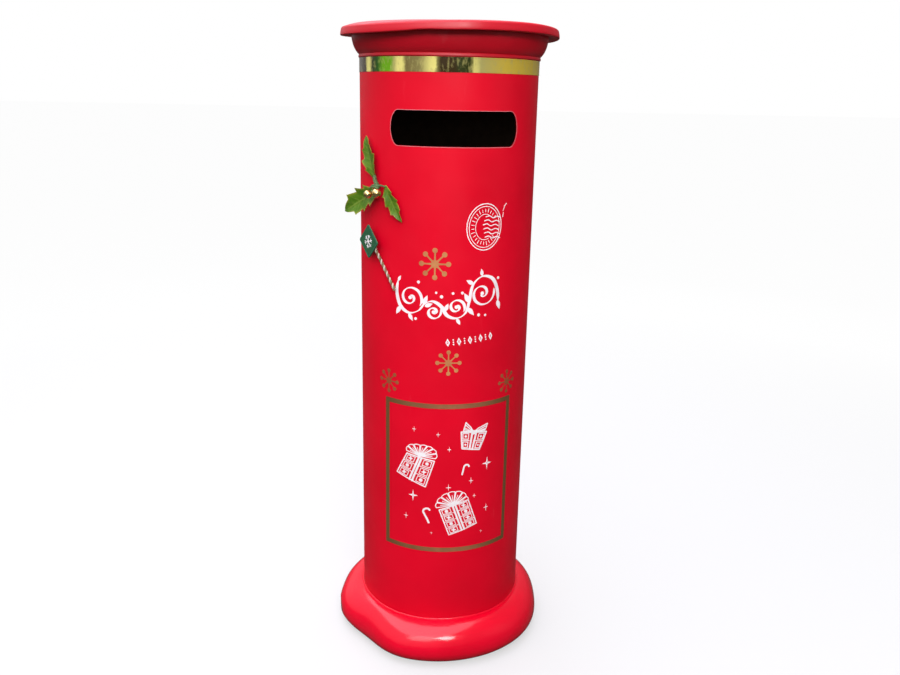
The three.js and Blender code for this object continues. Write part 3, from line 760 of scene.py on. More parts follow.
# ---- Vinyl art ----
class Art:
    """Thin flat shapes laid on the wall. x runs round the wall and y is up, in millimetres."""

    def __init__(self, azimuth, height, turn=0.0, scale=1.0, radius=TUBE_R):
        self.azimuth = math.radians(azimuth)
        self.height = height * MM
        self.turn = math.radians(turn)
        self.scale = scale * MM
        self.radius = radius
        self.verts = []
        self.faces = []
        self.shapes = 0

    def place(self, x, y, lift):
        c, s = math.cos(self.turn), math.sin(self.turn)
        u = (x * c - y * s) * self.scale
        v = (x * s + y * c) * self.scale
        return polar(self.azimuth + u / self.radius, self.radius + lift, self.height + v)

    def lifts(self):
        """Each shape lies a hair above the one before, so that no two surfaces meet."""
        self.shapes += 1
        return 0.06 * MM, (0.26 + 0.0015 * (self.shapes % 60)) * MM

    def stroke(self, points, width, closed=False, step=2.0, pen=None, thin=1.0):
        """A ribbon along smooth points. pen is a nib's angle: broad across it and thin along it."""
        line = resampled(points, step, closed)
        low, high = self.lifts()
        count = len(line)
        rows = []
        for i, (x, y) in enumerate(line):
            before = line[i - 1] if closed or i else line[i]
            after = line[(i + 1) % count] if closed or i < count - 1 else line[i]
            dx, dy = after[0] - before[0], after[1] - before[1]
            size = math.hypot(dx, dy) or 1.0
            nx, ny = -dy / size, dx / size
            half = width / 2
            if pen is not None:
                across = abs(math.sin(math.atan2(dy, dx) - math.radians(pen)))
                half = (thin + (width - thin) * across ** 1.4) / 2
            if not closed and pen is not None:
                end = min(i, count - 1 - i) * step
                half *= math.sqrt(min(1.0, (end + 0.15 * step) / (1.6 * width + 1e-6)))
            rows.append((x + nx * half, y + ny * half, x - nx * half, y - ny * half))
        self.ribbon(rows, low, high, closed)
        if not closed and pen is None:
            self.disc(line[0][0], line[0][1], width / 2)
            self.disc(line[-1][0], line[-1][1], width / 2)

    def ribbon(self, rows, low, high, closed):
        base = len(self.verts)
        for ax, ay, bx, by in rows:
            self.verts += [self.place(ax, ay, low), self.place(ax, ay, high),
                           self.place(bx, by, high), self.place(bx, by, low)]
        count = len(rows)
        for i in range(count if closed else count - 1):
            here, there = base + 4 * i, base + 4 * ((i + 1) % count)
            for k in range(4):
                m = (k + 1) % 4
                self.faces.append([here + k, there + k, there + m, here + m])
        if not closed:
            self.faces.append([base + k for k in range(4)])
            self.faces.append([base + 4 * (count - 1) + k for k in range(4)])

    def polygon(self, points, centre=None):
        """A filled shape, fanned from a point that sees its whole outline."""
        low, high = self.lifts()
        cx = centre[0] if centre else sum(p[0] for p in points) / len(points)
        cy = centre[1] if centre else sum(p[1] for p in points) / len(points)
        base = len(self.verts)
        count = len(points)
        self.verts += [self.place(cx, cy, low), self.place(cx, cy, high)]
        for x, y in points:
            self.verts += [self.place(x, y, low), self.place(x, y, high)]
        for i in range(count):
            a = base + 2 + 2 * i
            b = base + 2 + 2 * ((i + 1) % count)
            self.faces += [[base, b, a], [base + 1, a + 1, b + 1], [a, b, b + 1, a + 1]]

    def disc(self, x, y, radius, steps=14):
        self.polygon([(x + px, y + py) for px, py in disc_outline(radius, steps)])

    def star(self, x, y, tall, wide, waist=0.12):
        """A four-point sparkle with hollow sides."""
        points = []
        for i in range(16):
            angle = TURN * i / 16
            reach = (waist + (1 - waist) * abs(math.cos(2 * angle)) ** 5) if i % 4 else 1.0
            points.append((x + wide / 2 * reach * math.sin(angle), y + tall / 2 * reach * math.cos(angle)))
        self.polygon(points, (x, y))

    def add(self, name, material, stands_for=(), slot=None):
        return piece(name, self.verts, self.faces, material, "cabinet", stands_for, slot, sharp=40)


def resampled(points, step, closed=False):
    """Catmull-Rom through the points, then even spacing."""
    count = len(points)
    if count == 2:
        dense = [tuple(points[0]), tuple(points[1])]
    else:
        dense = []
        spans = count if closed else count - 1
        for i in range(spans):
            near = [(i + k) % count if closed else min(max(i + k, 0), count - 1) for k in (-1, 0, 1, 2)]
            p = [points[k] for k in near]
            for j in range(12):
                dense.append(tuple(spline(p, j / 12, axis) for axis in (0, 1)))
        dense.append(tuple(points[0] if closed else points[-1]))
    lengths = [0.0]
    for a, b in zip(dense, dense[1:]):
        lengths.append(lengths[-1] + math.dist(a, b))
    pieces_in = max(2, round(lengths[-1] / step))
    out = []
    k = 0
    for i in range(pieces_in if closed else pieces_in + 1):
        target = lengths[-1] * i / pieces_in
        while k < len(lengths) - 2 and lengths[k + 1] < target:
            k += 1
        share = (target - lengths[k]) / max(1e-9, lengths[k + 1] - lengths[k])
        a, b = dense[k], dense[k + 1]
        out.append((a[0] + (b[0] - a[0]) * share, a[1] + (b[1] - a[1]) * share))
    return out


def spline(p, t, axis):
    a, b, c, d = (q[axis] for q in p)
    square, cube = 2 * a - 5 * b + 4 * c - d, 3 * b - a - 3 * c + d
    return 0.5 * (2 * b + (c - a) * t + square * t * t + cube * t ** 3)


def spiral(x, y, inner, outer, start, sweep, steps=18):
    """Points from the inner end of a scroll outwards, angles in degrees."""
    out = []
    for i in range(steps + 1):
        share = i / steps
        angle = math.radians(start + sweep * share)
        r = inner + (outer - inner) * share ** 1.1
        out.append((x + r * math.cos(angle), y + r * math.sin(angle)))
    return out


def add_frame_line():
    low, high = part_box("frame_decal")
    art = Art(0, (low.z + high.z) / 2 / MM)
    reach_x = math.asin(high.x / TUBE_R) * TUBE_R / MM - 5
    reach_y = (high.z - low.z) / 2 / MM - 5
    line = 9.6
    outer = (reach_x + line / 2, reach_y + line / 2)
    inner = (reach_x - line / 2, reach_y - line / 2)
    corners = [(1, -1), (1, 1), (-1, 1), (-1, -1)]
    rows = []
    for i, corner in enumerate(corners):
        after = corners[(i + 1) % 4]
        for k in range(60):
            share = k / 60
            sx = corner[0] + (after[0] - corner[0]) * share
            sy = corner[1] + (after[1] - corner[1]) * share
            rows.append((sx * outer[0], sy * outer[1], sx * inner[0], sy * inner[1]))
    art.ribbon(rows, *art.lifts(), closed=True)
    art.add("frame_line_vinyl", LINE_GOLD, ["frame_decal"], "gold_vinyl")


def add_snowflakes():
    flakes = [(-11.3, 855.2, 62), (-1.7, 660.4, 52), (-43.2, 609.7, 50), (42.1, 606.7, 50)]
    for i, (azimuth, height, across) in enumerate(flakes):
        art = Art(azimuth, height, scale=across / 62)
        art.disc(0, 0, 7.4, 28)
        for k in range(8):
            c, s = math.cos(TURN * k / 8), math.sin(TURN * k / 8)
            arm = [(x * c - 1.7 * w * s, x * s + 1.7 * w * c, x * c + 1.7 * w * s, x * s - 1.7 * w * c)
                   for x, w in ((5, 1.5), (10, 0.95), (16, 0.8), (22, 0.95))]
            art.ribbon(arm, *art.lifts(), closed=False)
            art.disc(25.8 * c, 25.8 * s, 5.0, 20)
        art.add(f"snowflake_vinyl_{i + 1}", SNOW_GOLD, [f"snowflake_decal_{i + 1}"], "gold_vinyl")


def add_postmark():
    art = Art(19.7, 924.7, turn=-4)
    for width, rx, ry in ((1.7, 36, 43.5), (1.2, 31.5, 38.5)):
        art.stroke(arc((0, 0), (rx, ry), 0, 360, 24)[:-1], width, closed=True, step=2.5)
    art.stroke(arc((0, 0), (19, 24), 62, 300, 24), 1.0)
    for k in range(22):
        angle = 40 + 285 * k / 21
        c, s = math.cos(math.radians(angle)), math.sin(math.radians(angle))
        inner, outer = (22.0, 27.0) if k % 3 else (22.0, 28.5)
        art.stroke([(inner * c, (inner + 6) * s), (outer * c, (outer + 6) * s)], 1.15, step=2)
    for k in range(6):
        y = 19 - 7.6 * k
        start = -4 + 2.0 * abs(k - 2)
        art.stroke([(start, y), (start + 8, y + 2.2), (start + 16, y - 1.4), (start + 25, y + 1.6),
                    (start + 33, y - 0.6)], 1.7, step=1.6)
    for x, y, turn in ((39, 35, 70), (42, 42, 50), (38.5, 24, 84)):
        c, s = math.cos(math.radians(turn)), math.sin(math.radians(turn))
        art.stroke([(x - 4 * c, y - 4 * s), (x + 4 * c, y + 4 * s)], 1.3, step=2)
    art.add("postmark_vinyl", WHITE_VINYL, ["postmark_decal"], "white_vinyl")


def teardrop(x, y, length, width, turn):
    """A pointed leaf outline from (x, y)."""
    c, s = math.cos(math.radians(turn)), math.sin(math.radians(turn))
    side = [(length * t, width / 2 * math.sin(math.pi * t ** 0.75)) for t in [k / 9 for k in range(10)]]
    outline = side + [(u, -v) for u, v in reversed(side[1:-1])]
    return [(x + u * c - v * s, y + u * s + v * c) for u, v in outline]


def add_large_flourish():
    """A running vine scroll: four curls on a waving stem, with leaves and berries."""
    art = Art(-2.2, 787, turn=2.2)
    nib = {"pen": 25, "thin": 1.9, "step": 1.5}
    stem = [(-101, 36), (-105, 12), (-98, -14), (-80, -27), (-60, -22), (-47, -8), (-31, -3), (-15, -13),
            (-4, -31), (14, -37), (31, -28), (39, -6), (47, 26), (66, 41), (88, 35), (99, 14), (102, -12)]
    art.stroke(stem, 7.4, **nib)
    curls = ((-76, 3, 25, -38, 500), (-30, -24, 15, 24, -470), (14, -15, 17, -36, 470), (66, 8, 27, 16, -520))
    for x, y, outer, start, sweep in curls:
        art.stroke(spiral(x, y, 4, outer, start + sweep, -sweep, 30), 5.8, **nib)
        art.disc(x, y, 3.6, 20)
    leaves = [(-50, -10, 21, 9, 64), (-47, -13, 17, 8, 20), (-98, -16, 19, 9, -122), (-80, -28, 17, 8, -62),
              (-8, -22, 16, 8, 66), (40, -8, 22, 10, 118), (36, -18, 20, 9, -52), (14, -38, 14, 7, -62),
              (48, 28, 16, 8, 150), (66, 42, 14, 7, 96), (100, -10, 20, 9, -74), (-101, 34, 12, 6, 60)]
    for leaf in leaves:
        art.polygon(teardrop(*leaf))
    berries = ((-58, 34, 3.0), (-66, -38, 2.8), (-14, 6, 3.2), (-24, 14, 2.3), (8, 12, 2.6), (26, 12, 2.8),
               (58, -34, 3.0), (72, -36, 2.4), (102, 34, 2.8))
    for x, y, size in berries:
        art.disc(x, y, size, 20)
    art.add("flourish_vinyl_large", WHITE_VINYL, ["flourish_decal_large"], "white_vinyl")


def add_small_flourish():
    """A short row of lozenges and dots."""
    art = Art(11.9, 706, turn=5.5)
    for k in range(9):
        x = -44 + 11 * k
        if k % 2:
            for y in (-4.6, 0, 4.6):
                art.disc(x, y, 1.5, 14)
        else:
            outline = ((1, 0), (0, 1), (-1, 0), (0, -1))
            rows = [(x + 4.3 * c, 8.2 * s, x + 1.9 * c, 3.6 * s) for c, s in outline]
            art.ribbon(rows, *art.lifts(), closed=True)
            art.disc(x, 0, 0.9, 12)
    art.add("flourish_vinyl_small", WHITE_VINYL, ["flourish_decal_small"], "white_vinyl")


def gift_box(art, corners, rows, line, ribbon=0.09):
    """A wrapped box on four corners: outline, a ribbon up the middle, and small motifs on both sides."""
    def at(u, v):
        low = [corners[0][k] + (corners[1][k] - corners[0][k]) * u for k in (0, 1)]
        high = [corners[3][k] + (corners[2][k] - corners[3][k]) * u for k in (0, 1)]
        return tuple(low[k] + (high[k] - low[k]) * v for k in (0, 1))

    for a, b in zip(corners, corners[1:] + corners[:1]):
        art.stroke([a, b], line, step=4)
    for u in (0.5 - ribbon * 0.52, 0.5 + ribbon * 0.52):
        art.stroke([at(u, 0), at(u, 1)], ribbon * 0.7 * math.dist(corners[0], corners[1]), step=4)
    for row in range(rows):
        low, high = row / rows, (row + 1) / rows
        for left, right in ((0, 0.5 - ribbon), (0.5 + ribbon, 1)):
            pad, rise = (right - left) * 0.17, (high - low) * 0.17
            u0, u1, v0, v1 = left + pad, right - pad, low + rise, high - rise
            cell = [at(u0, v0), at(u1, v0), at(u1, v1), at(u0, v1)]
            for a, b in zip(cell, cell[1:] + cell[:1]):
                art.stroke([a, b], line * 0.6, step=4)
            x, y = at((left + right) / 2, (low + high) / 2)
            size = math.dist(cell[0], cell[1])
            if (row + (left > 0)) % 2:
                art.disc(x, y, size * 0.22, 12)
            else:
                art.star(x, y, size * 0.72, size * 0.72, 0.42)
            if row:
                art.stroke([at(left, low), at(right, low)], line * 0.55, step=4)
    return at


def fan_bow(art, centre, tips, line):
    """A bow seen from the front: folded loops fanned out of a knot, one between each pair of tips."""
    x, y = centre
    for (ax, ay), (bx, by) in zip(tips, tips[1:]):
        low, high = 0.07, 0.93
        a = (ax + (bx - ax) * low, ay + (by - ay) * low)
        b = (ax + (bx - ax) * high, ay + (by - ay) * high)
        crown = ((a[0] + b[0]) / 2 * 1.06 - x * 0.06, (a[1] + b[1]) / 2 * 1.06 - y * 0.06)
        art.stroke([(x, y), a], line, step=3)
        art.stroke([(x, y), b], line, step=3)
        art.stroke([a, crown, b], line, step=2)
        fold = (x + (crown[0] - x) * 0.72, y + (crown[1] - y) * 0.72)
        art.stroke([(x, y), fold], line * 0.7, step=3)
    art.disc(x, y, line * 2.0, 16)


def add_gifts():
    art = Art(-21.4, 438)
    gift_box(art, [(-45, -21), (18, -44), (36, 14), (-22, 25)], 3, 2.5)
    tips = [(-23, 30), (-20, 41), (-8, 46), (7, 46.5), (21, 46), (33, 41), (40, 31), (38, 19)]
    fan_bow(art, (5, 23), tips, 1.8)
    art.add("gift_vinyl_1", WHITE_VINYL, ["gift_decal_1"], "white_vinyl")

    art = Art(6.2, 334)
    gift_box(art, [(-16, -47), (43, -27), (23, 30), (-37, 10)], 4, 2.4)
    tips = [(-43, 14), (-42, 27), (-34, 39), (-20, 48), (-4, 50.5), (11, 48), (19, 38), (23, 29)]
    fan_bow(art, (-8, 21), tips, 1.8)
    art.add("gift_vinyl_3", WHITE_VINYL, ["gift_decal_3"], "white_vinyl")

    art = Art(16.6, 504)
    gift_box(art, [(-25, -25), (12.5, -31), (28, 5), (-27, 11)], 2, 3.0, ribbon=0.15)
    left_loop = [(-1, 8), (-8, 20), (-18, 30.5), (-20, 22), (-23, 12)]
    right_loop = [(-1, 8), (9, 15.5), (30, 22.5), (27, 14), (24, 8)]
    for loop in (left_loop, right_loop):
        for a, b in zip(loop, loop[1:]):
            art.stroke([a, b], 2.4, step=3)
        for share in (0.25, 0.55, 0.85):
            low = [loop[3][k] + (loop[4][k] - loop[3][k]) * share for k in (0, 1)]
            art.stroke([loop[0], tuple(low)], 1.7, step=3)
        art.stroke([loop[0], ((loop[2][0] + loop[3][0]) / 2, (loop[2][1] + loop[3][1]) / 2)], 2.2, step=3)
    art.disc(-1, 8, 4.6, 20)
    art.add("gift_vinyl_2", WHITE_VINYL, ["gift_decal_2"], "white_vinyl")


def add_canes():
    small = [(-6.1, -11.6), (-3.9, -2), (-2.2, 5), (1.2, 8.6), (6.4, 7.8), (9, 2.4)]
    large = [(5.4, -16.6), (1.6, -8), (-3.6, 1.5), (-6.2, 8), (-2.6, 13.6), (4.4, 14.4), (8.4, 10)]
    canes = [(11, 434, small, 3.6), (-14.7, 331, large, 4.2)]
    for i, (azimuth, height, path, width) in enumerate(canes):
        art = Art(azimuth, height)
        line = resampled(path, 0.9)
        band = 3
        for k in range(0, len(line) - band, band + 1):
            art.stroke([line[k], line[k + 1], line[k + 2]], width, step=0.8)
        art.add(f"candy_cane_vinyl_{i + 1}", WHITE_VINYL, (), "white_vinyl")


def add_sparkles():
    """Small sparkles scattered inside the frame: azimuth in degrees, height and size in millimetres."""
    places = [(-23.6, 518, 13), (-7.5, 510, 13), (0, 478, 13), (15.3, 406, 16), (0, 394, 17), (18, 371, 12),
              (27.4, 339, 18), (-29, 323, 15), (-11, 291, 8), (24, 286, 8)]
    art = Art(0, 400)
    for azimuth, height, size in places:
        art.star(math.radians(azimuth) * TUBE_R / MM, height - 400, size, size * 0.68, 0.14)
    for azimuth, height, size in ((27, 439, 29), (-24, 372, 26)):
        x, y = math.radians(azimuth) * TUBE_R / MM, height - 400
        rows = []
        for k in range(8):
            across, up = math.sin(TURN * k / 8), math.cos(TURN * k / 8)
            reach = size * (0.11 if k % 2 else 0.5)
            hole = size * 0.045
            rows.append((x + 0.78 * reach * across, y + reach * up, x + hole * across, y + hole * up))
        art.ribbon(rows, *art.lifts(), closed=True)
    art.add("sparkle_vinyl", WHITE_VINYL, (), "white_vinyl")


# ---- Holly and the pick sign ----
HOLLY_AZIMUTH = math.radians(-50)
HOLLY_Z = 988 * MM


def leaf_half_width(t, width, prickles):
    """Half the blade's width at t along it: a pointed oval with hooked prickles."""
    body = math.sin(math.pi * t ** 0.82) ** 0.8
    phase = (t * prickles) % 1.0
    hook = phase ** 1.7 if phase < 0.86 else (1 - phase) / 0.14
    return width / 2 * body * (0.66 + 0.36 * hook) + 0.0006 * (1 - t)


def add_leaf(number, origin, length, width, direction, lift, droop, seed):
    """A veined blade, bent over its midrib. lift(x) is its stand-off from the wall at x from its base."""
    chance = random.Random(seed)
    stations, across = 46, 14
    heading = math.radians(direction)
    along = Vector((math.cos(heading), math.sin(heading)))
    side_way = Vector((-along.y, along.x))
    thick = 0.7 * MM
    tops, lows, marks = [], [], []
    ripple = [chance.uniform(0, TURN) for _ in range(3)]
    for i in range(stations + 1):
        t = i / stations
        half = leaf_half_width(t, width, 4)
        for j in range(across + 1):
            s = 2 * j / across - 1
            spread = half * s * (1 + 0.06 * math.sin(9 * t + ripple[0]))
            flat = Vector(origin) + along * (length * t) + side_way * spread
            flat += along * (abs(s) * half * 0.25 * (1 - t)) - side_way * (droop * t * t)
            rise = abs(s) * half * 0.3
            rise += 0.0016 * math.sin(math.pi * 4 * t + ripple[1 if s > 0 else 2]) * abs(s) ** 1.5
            azimuth = HOLLY_AZIMUTH + flat.x / TUBE_R
            stand = TUBE_R + lift(flat.x - origin[0]) + rise
            tops.append(polar(azimuth, stand + thick, HOLLY_Z + flat.y))
            lows.append(polar(azimuth, stand, HOLLY_Z + flat.y))
            vein_phase = (t * 8 - abs(s) * 1.3) % 1.0
            side_vein = max(0.0, 1 - abs(vein_phase - 0.5) * 9) * (1 - abs(s)) ** 0.4
            mid_vein = max(0.0, 1 - abs(s) * 7)
            rim = max(0.0, (abs(s) - 0.8) / 0.2)
            marks.append((max(mid_vein, 0.75 * side_vein), rim, 0.0, 1.0))
    row = across + 1
    count = len(tops)
    faces = []
    for i in range(stations):
        for j in range(across):
            a = i * row + j
            faces.append([a, a + 1, a + row + 1, a + row])
            faces.append([count + a, count + a + row, count + a + row + 1, count + a + 1])
    border = [i * row for i in range(stations + 1)]
    border += [stations * row + j for j in range(1, across + 1)]
    border += [i * row + across for i in range(stations - 1, -1, -1)]
    border += [j for j in range(across - 1, 0, -1)]
    for a, b in zip(border, border[1:] + border[:1]):
        faces.append([a, b, b + count, a + count])
    mesh = bpy.data.meshes.new(f"holly_blade_{number}")
    mesh.from_pydata([tuple(v) for v in tops + lows], [], faces)
    paint = mesh.color_attributes.new("vein", "FLOAT_COLOR", "POINT")
    for k, mark in enumerate(marks + marks):
        paint.data[k].color = mark
    smoothed(faced_out(mesh), 50)
    made = linked(f"holly_blade_{number}", mesh)
    mesh.materials.append(LEAF_GREEN)
    adopt(made, "cabinet", [f"holly_leaf_{number}"])


def tube_along(points, radius_at, sides=14):
    """A round tube through 3-D points. radius_at(share, turn) is its radius there."""
    verts, faces = [], []
    count = len(points)
    side = None
    for i, p in enumerate(points):
        ahead = (points[min(i + 1, count - 1)] - points[max(i - 1, 0)]).normalized()
        if side is None:
            side = ahead.orthogonal().normalized()
        side = (side - ahead * side.dot(ahead)).normalized()
        up = ahead.cross(side)
        for k in range(sides):
            turn = TURN * k / sides
            r = radius_at(i / (count - 1), turn)
            verts.append(p + (side * math.cos(turn) + up * math.sin(turn)) * r)
    for i in range(count - 1):
        for k in range(sides):
            m = (k + 1) % sides
            faces.append([i * sides + k, i * sides + m, (i + 1) * sides + m, (i + 1) * sides + k])
    faces += [list(range(sides)), [(count - 1) * sides + k for k in range(sides)]]
    return verts, faces


def holly_point(x, y, stand):
    """A point near the spray: x round the wall, y up and stand off it, in millimetres."""
    return polar(HOLLY_AZIMUTH + x * MM / TUBE_R, TUBE_R + stand * MM, HOLLY_Z + y * MM)


def curve_points(points, steps):
    """A smooth 3-D curve through points."""
    out = []
    for i in range(len(points) - 1):
        p = [points[min(max(i + k, 0), len(points) - 1)] for k in (-1, 0, 1, 2)]
        for j in range(steps):
            out.append(Vector(tuple(spline(p, j / steps, axis) for axis in range(3))))
    return out + [points[-1]]


def add_holly():
    add_leaf(1, (-13 * MM, 18 * MM), 83 * MM, 45 * MM, 113, lambda x: 5 * MM, 2 * MM, 11)
    add_leaf(2, (15 * MM, 8 * MM), 76 * MM, 31 * MM, -61, lambda x: 5 * MM, -2 * MM, 12)
    add_leaf(3, (-6 * MM, -5 * MM), 81 * MM, 52 * MM, 204, lambda x: 5 * MM + 7.1 * x * x, -14 * MM, 13)
    for number, place, radius in ((1, (5.5, -7, 17), 9.0 * MM), (2, (-9, -10, 25), 7.9 * MM)):
        centre = holly_point(*place)
        profile = arc((0, 0), (radius, radius), -90, 90, 20)
        profile = [(0, profile[0][1])] + profile[1:-1] + [(0, profile[-1][1] - 0.6 * MM)]
        facing = wall_frame(HOLLY_AZIMUTH, 0, 0).to_3x3().to_4x4()
        shape = moved(lathe(profile, 32), Matrix.Translation(centre) @ facing)
        node = f"holly_berry_{number}"
        piece(f"holly_berry_skin_{number}", *shape, BERRY_GOLD, "cabinet", [node], "berry_gold")
    ridge = lambda share, turn: (5.0 + 0.5 * math.sin(turn + share * 60) - 1.9 * share) * MM
    stem = curve_points([holly_point(2, 1, 9.5), holly_point(0, 6, 10), holly_point(-6, 15, 10),
                         holly_point(-11, 24, 8)], 14)
    parts = [tube_along(stem, ridge)]
    for ends in (((0, 5, 11), (-4, 0, 13), (-7, -5, 19)), ((1, 4, 12), (3, 1, 13), (4, -2, 14)),
                 ((2, 3, 11), (8, 7, 9), (17, 5, 7)), ((0, 4, 10), (-4, 2, 8), (-9, -6, 7)),
                 ((7, 2, 14), (-3, 4, 17), (-14, 1, 17)), ((6, 5, 12), (-4, 7, 15), (-13, 4, 14))):
        line = curve_points([holly_point(*p) for p in ends], 8)
        parts.append(tube_along(line, lambda share, turn: (2.2 - 0.8 * share) * MM, 8))
    piece("holly_stem_wrap", *joined(*parts), STEM_GREEN, "cabinet", ["holly_stem"], "stem_green")


SIGN_AZIMUTH = math.radians(-58)
SIGN_Z = 885 * MM
SIGN_SIDE = 48 * MM
SIGN_TURN = math.radians(46)


def add_sign():
    frame_here = wall_frame(SIGN_AZIMUTH, SIGN_Z, TUBE_R + 10.6 * MM) @ Matrix.Rotation(SIGN_TURN, 4, "Z")
    board = moved(prism(rounded_box(SIGN_SIDE, SIGN_SIDE, 3.6 * MM, 6), 0, 2.2 * MM), frame_here)
    made = piece("sign_board", *board, SIGN_GREEN, "cabinet", ["pick_sign"], "sign_green")
    softened(made, 0.6 * MM)
    ring_out = rounded_box(SIGN_SIDE - 2 * MM, SIGN_SIDE - 2 * MM, 3.2 * MM, 6)
    ring_in = rounded_box(SIGN_SIDE - 5.6 * MM, SIGN_SIDE - 5.6 * MM, 2.2 * MM, 6)
    verts, faces = [], []
    for (ax, ay), (bx, by) in zip(ring_out, ring_in):
        low, high = 2.1 * MM, 2.5 * MM
        section = ((ax, ay, low), (ax, ay, high), (bx, by, high), (bx, by, low))
        verts += [Vector(corner) for corner in section]
    count = len(ring_out)
    for i in range(count):
        here, there = 4 * i, 4 * ((i + 1) % count)
        faces += [[here + k, there + k, there + (k + 1) % 4, here + (k + 1) % 4] for k in range(4)]
    piece("sign_border", *moved((verts, faces), frame_here), SIGN_EDGE, "cabinet", (), "sign_green")
    arm = [(-0.8 * MM, 0), (0.8 * MM, 0), (0.7 * MM, 13 * MM), (-0.7 * MM, 13 * MM)]
    branch = [(-0.6 * MM, 0), (0.6 * MM, 0), (0.5 * MM, 5 * MM), (-0.5 * MM, 5 * MM)]
    shapes = []
    for k in range(6):
        turn = Matrix.Rotation(TURN * k / 6, 4, "Z")
        shapes.append(moved(prism(arm, 2.15 * MM, (2.6 + 0.01 * k) * MM), turn))
        for side in (-1, 1):
            twig = Matrix.Translation((0, 8 * MM, 0)) @ Matrix.Rotation(side * math.radians(48), 4, "Z")
            shapes.append(moved(prism(branch, 2.15 * MM, (2.7 + 0.01 * k + 0.02 * side) * MM), turn @ twig))
    piece("sign_star", *moved(joined(*shapes), frame_here), WHITE_VINYL, "cabinet", (), "white_vinyl")


def add_stick():
    """Two paper strands twisted round each other."""
    top = polar(SIGN_AZIMUTH + 13 * MM / TUBE_R, TUBE_R + 7 * MM, SIGN_Z - 11 * MM)
    bottom = polar(math.radians(-36.8), TUBE_R + 7 * MM, 799 * MM)
    axis = (bottom - top).normalized()
    side = axis.orthogonal().normalized()
    other = axis.cross(side)
    length = (bottom - top).length
    steps = 150
    strands = (("stick_strand_gold", GOLD_STRAND), ("stick_strand_pale", PALE_STRAND))
    for k, (name, material) in enumerate(strands):
        points = []
        for i in range(steps + 1):
            share = i / steps
            turn = TURN * (length / (13 * MM)) * share + math.pi * k
            reach = 1.5 * MM
            offset = (side * math.cos(turn) + other * math.sin(turn)) * reach
            points.append(top + axis * length * share + offset)
        verts, faces = tube_along(points, lambda share, turn: 1.65 * MM, 10)
        piece(name, verts, faces, material, "cabinet", ["pick_stick"] if k == 0 else (), "stick_gold")


# ---- Rear door, hinges and lock ----
def add_door():
    lock_hole = moved(prism(disc_outline(9.4 * MM, 48), -30 * MM, 30 * MM), wall_frame(LOCK_AZIMUTH, LOCK_Z))
    panel = sector(TUBE_R - WALL, TUBE_R, REAR, DOOR_HALF, DOOR_LOW.z, DOOR_HIGH.z, 96)
    mesh = carved("rear_door_skin", panel, [lock_hole])
    made = finished("rear_door_skin", mesh, [RED_PAINT, CARDBOARD], "door", ["rear_door"])
    round_normals(made, inner_material=1)

    low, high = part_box("door_stop_frame")
    outer = TUBE_R - WALL - 0.4 * MM
    lap = 10 * MM
    half = DOOR_HALF + DOOR_GAP + lap / TUBE_R
    window = sector(outer - 12 * MM, outer + 8 * MM, REAR, DOOR_HALF - lap / TUBE_R,
                    DOOR_LOW.z + lap, DOOR_HIGH.z - lap, 72)
    mesh = carved("door_stop_skin", sector(outer - 5 * MM, outer, REAR, half, low.z, high.z, 96), [window])
    made = finished("door_stop_skin", mesh, RED_PAINT, "cabinet", ["door_stop_frame"])
    round_normals(made)


def hinge_leaf(side, height, rows):
    """A leaf plate with round corners and its knuckles, in the frame's place."""
    clear, reach, knuckle, gap = 5.6 * MM, 24 * MM, 14.4 * MM, 0.4 * MM
    tall = 3 * knuckle + 2 * gap
    half = (clear + reach) / 2
    plate_at = wall_frame(HINGE_AZIMUTH + side * half / TUBE_R, height)
    axis_at = wall_frame(HINGE_AZIMUTH, height, HINGE_R)
    shapes = [moved(prism(rounded_box(reach - clear, tall, 2.4 * MM), 0.4 * MM, 1.9 * MM), plate_at)]
    for row in rows:
        y = row * (knuckle + gap)
        near, far = sorted((-side * half, -side * 4 * MM))
        low, high = y - knuckle / 2, y + knuckle / 2
        bridge = [(near, low), (far, low), (far, high), (near, high)]
        shapes.append(moved(prism(bridge, 0.45 * MM, 1.85 * MM), plate_at))
        rim = 0.5 * MM
        profile = [(2.6 * MM, -knuckle / 2), (4.5 * MM - rim, -knuckle / 2), (4.5 * MM, -knuckle / 2 + rim),
                   (4.5 * MM, knuckle / 2 - rim), (4.5 * MM - rim, knuckle / 2), (2.6 * MM, knuckle / 2)]
        upright = Matrix.Rotation(-math.pi / 2, 4, "X")
        barrel = moved(lathe(profile, 40), axis_at @ Matrix.Translation((0, y, 0)) @ upright)
        shapes.append(barrel)
    return joined(*shapes)


def screw_shape(head_r, head_h, shank_r, shank_end):
    """A pan-head screw with a cross recess, along z with its head's seat at z 0."""
    dome = arc((0, -head_h * 0.6), (head_r, head_h * 1.6), 18, 90, 8)
    profile = [(0, -shank_end), (shank_r, -shank_end), (shank_r, 0), (head_r, 0), *dome[:-1], (0, head_h)]
    arm, half = head_r * 0.62, head_r * 0.15
    cross = [prism([(-arm, -half), (arm, -half), (arm, half), (-arm, half)], head_h * 0.45, head_h * 2),
             prism([(-half, -arm), (half, -arm), (half, arm), (-half, arm)], head_h * 0.45, head_h * 2)]
    return carved("screw", lathe(profile, 36), cross)


def placed_copy(name, mesh, matrix, material, body, node):
    own = mesh.copy()
    own.transform(matrix)
    return finished(name, own, material, body, [node], sharp=30)


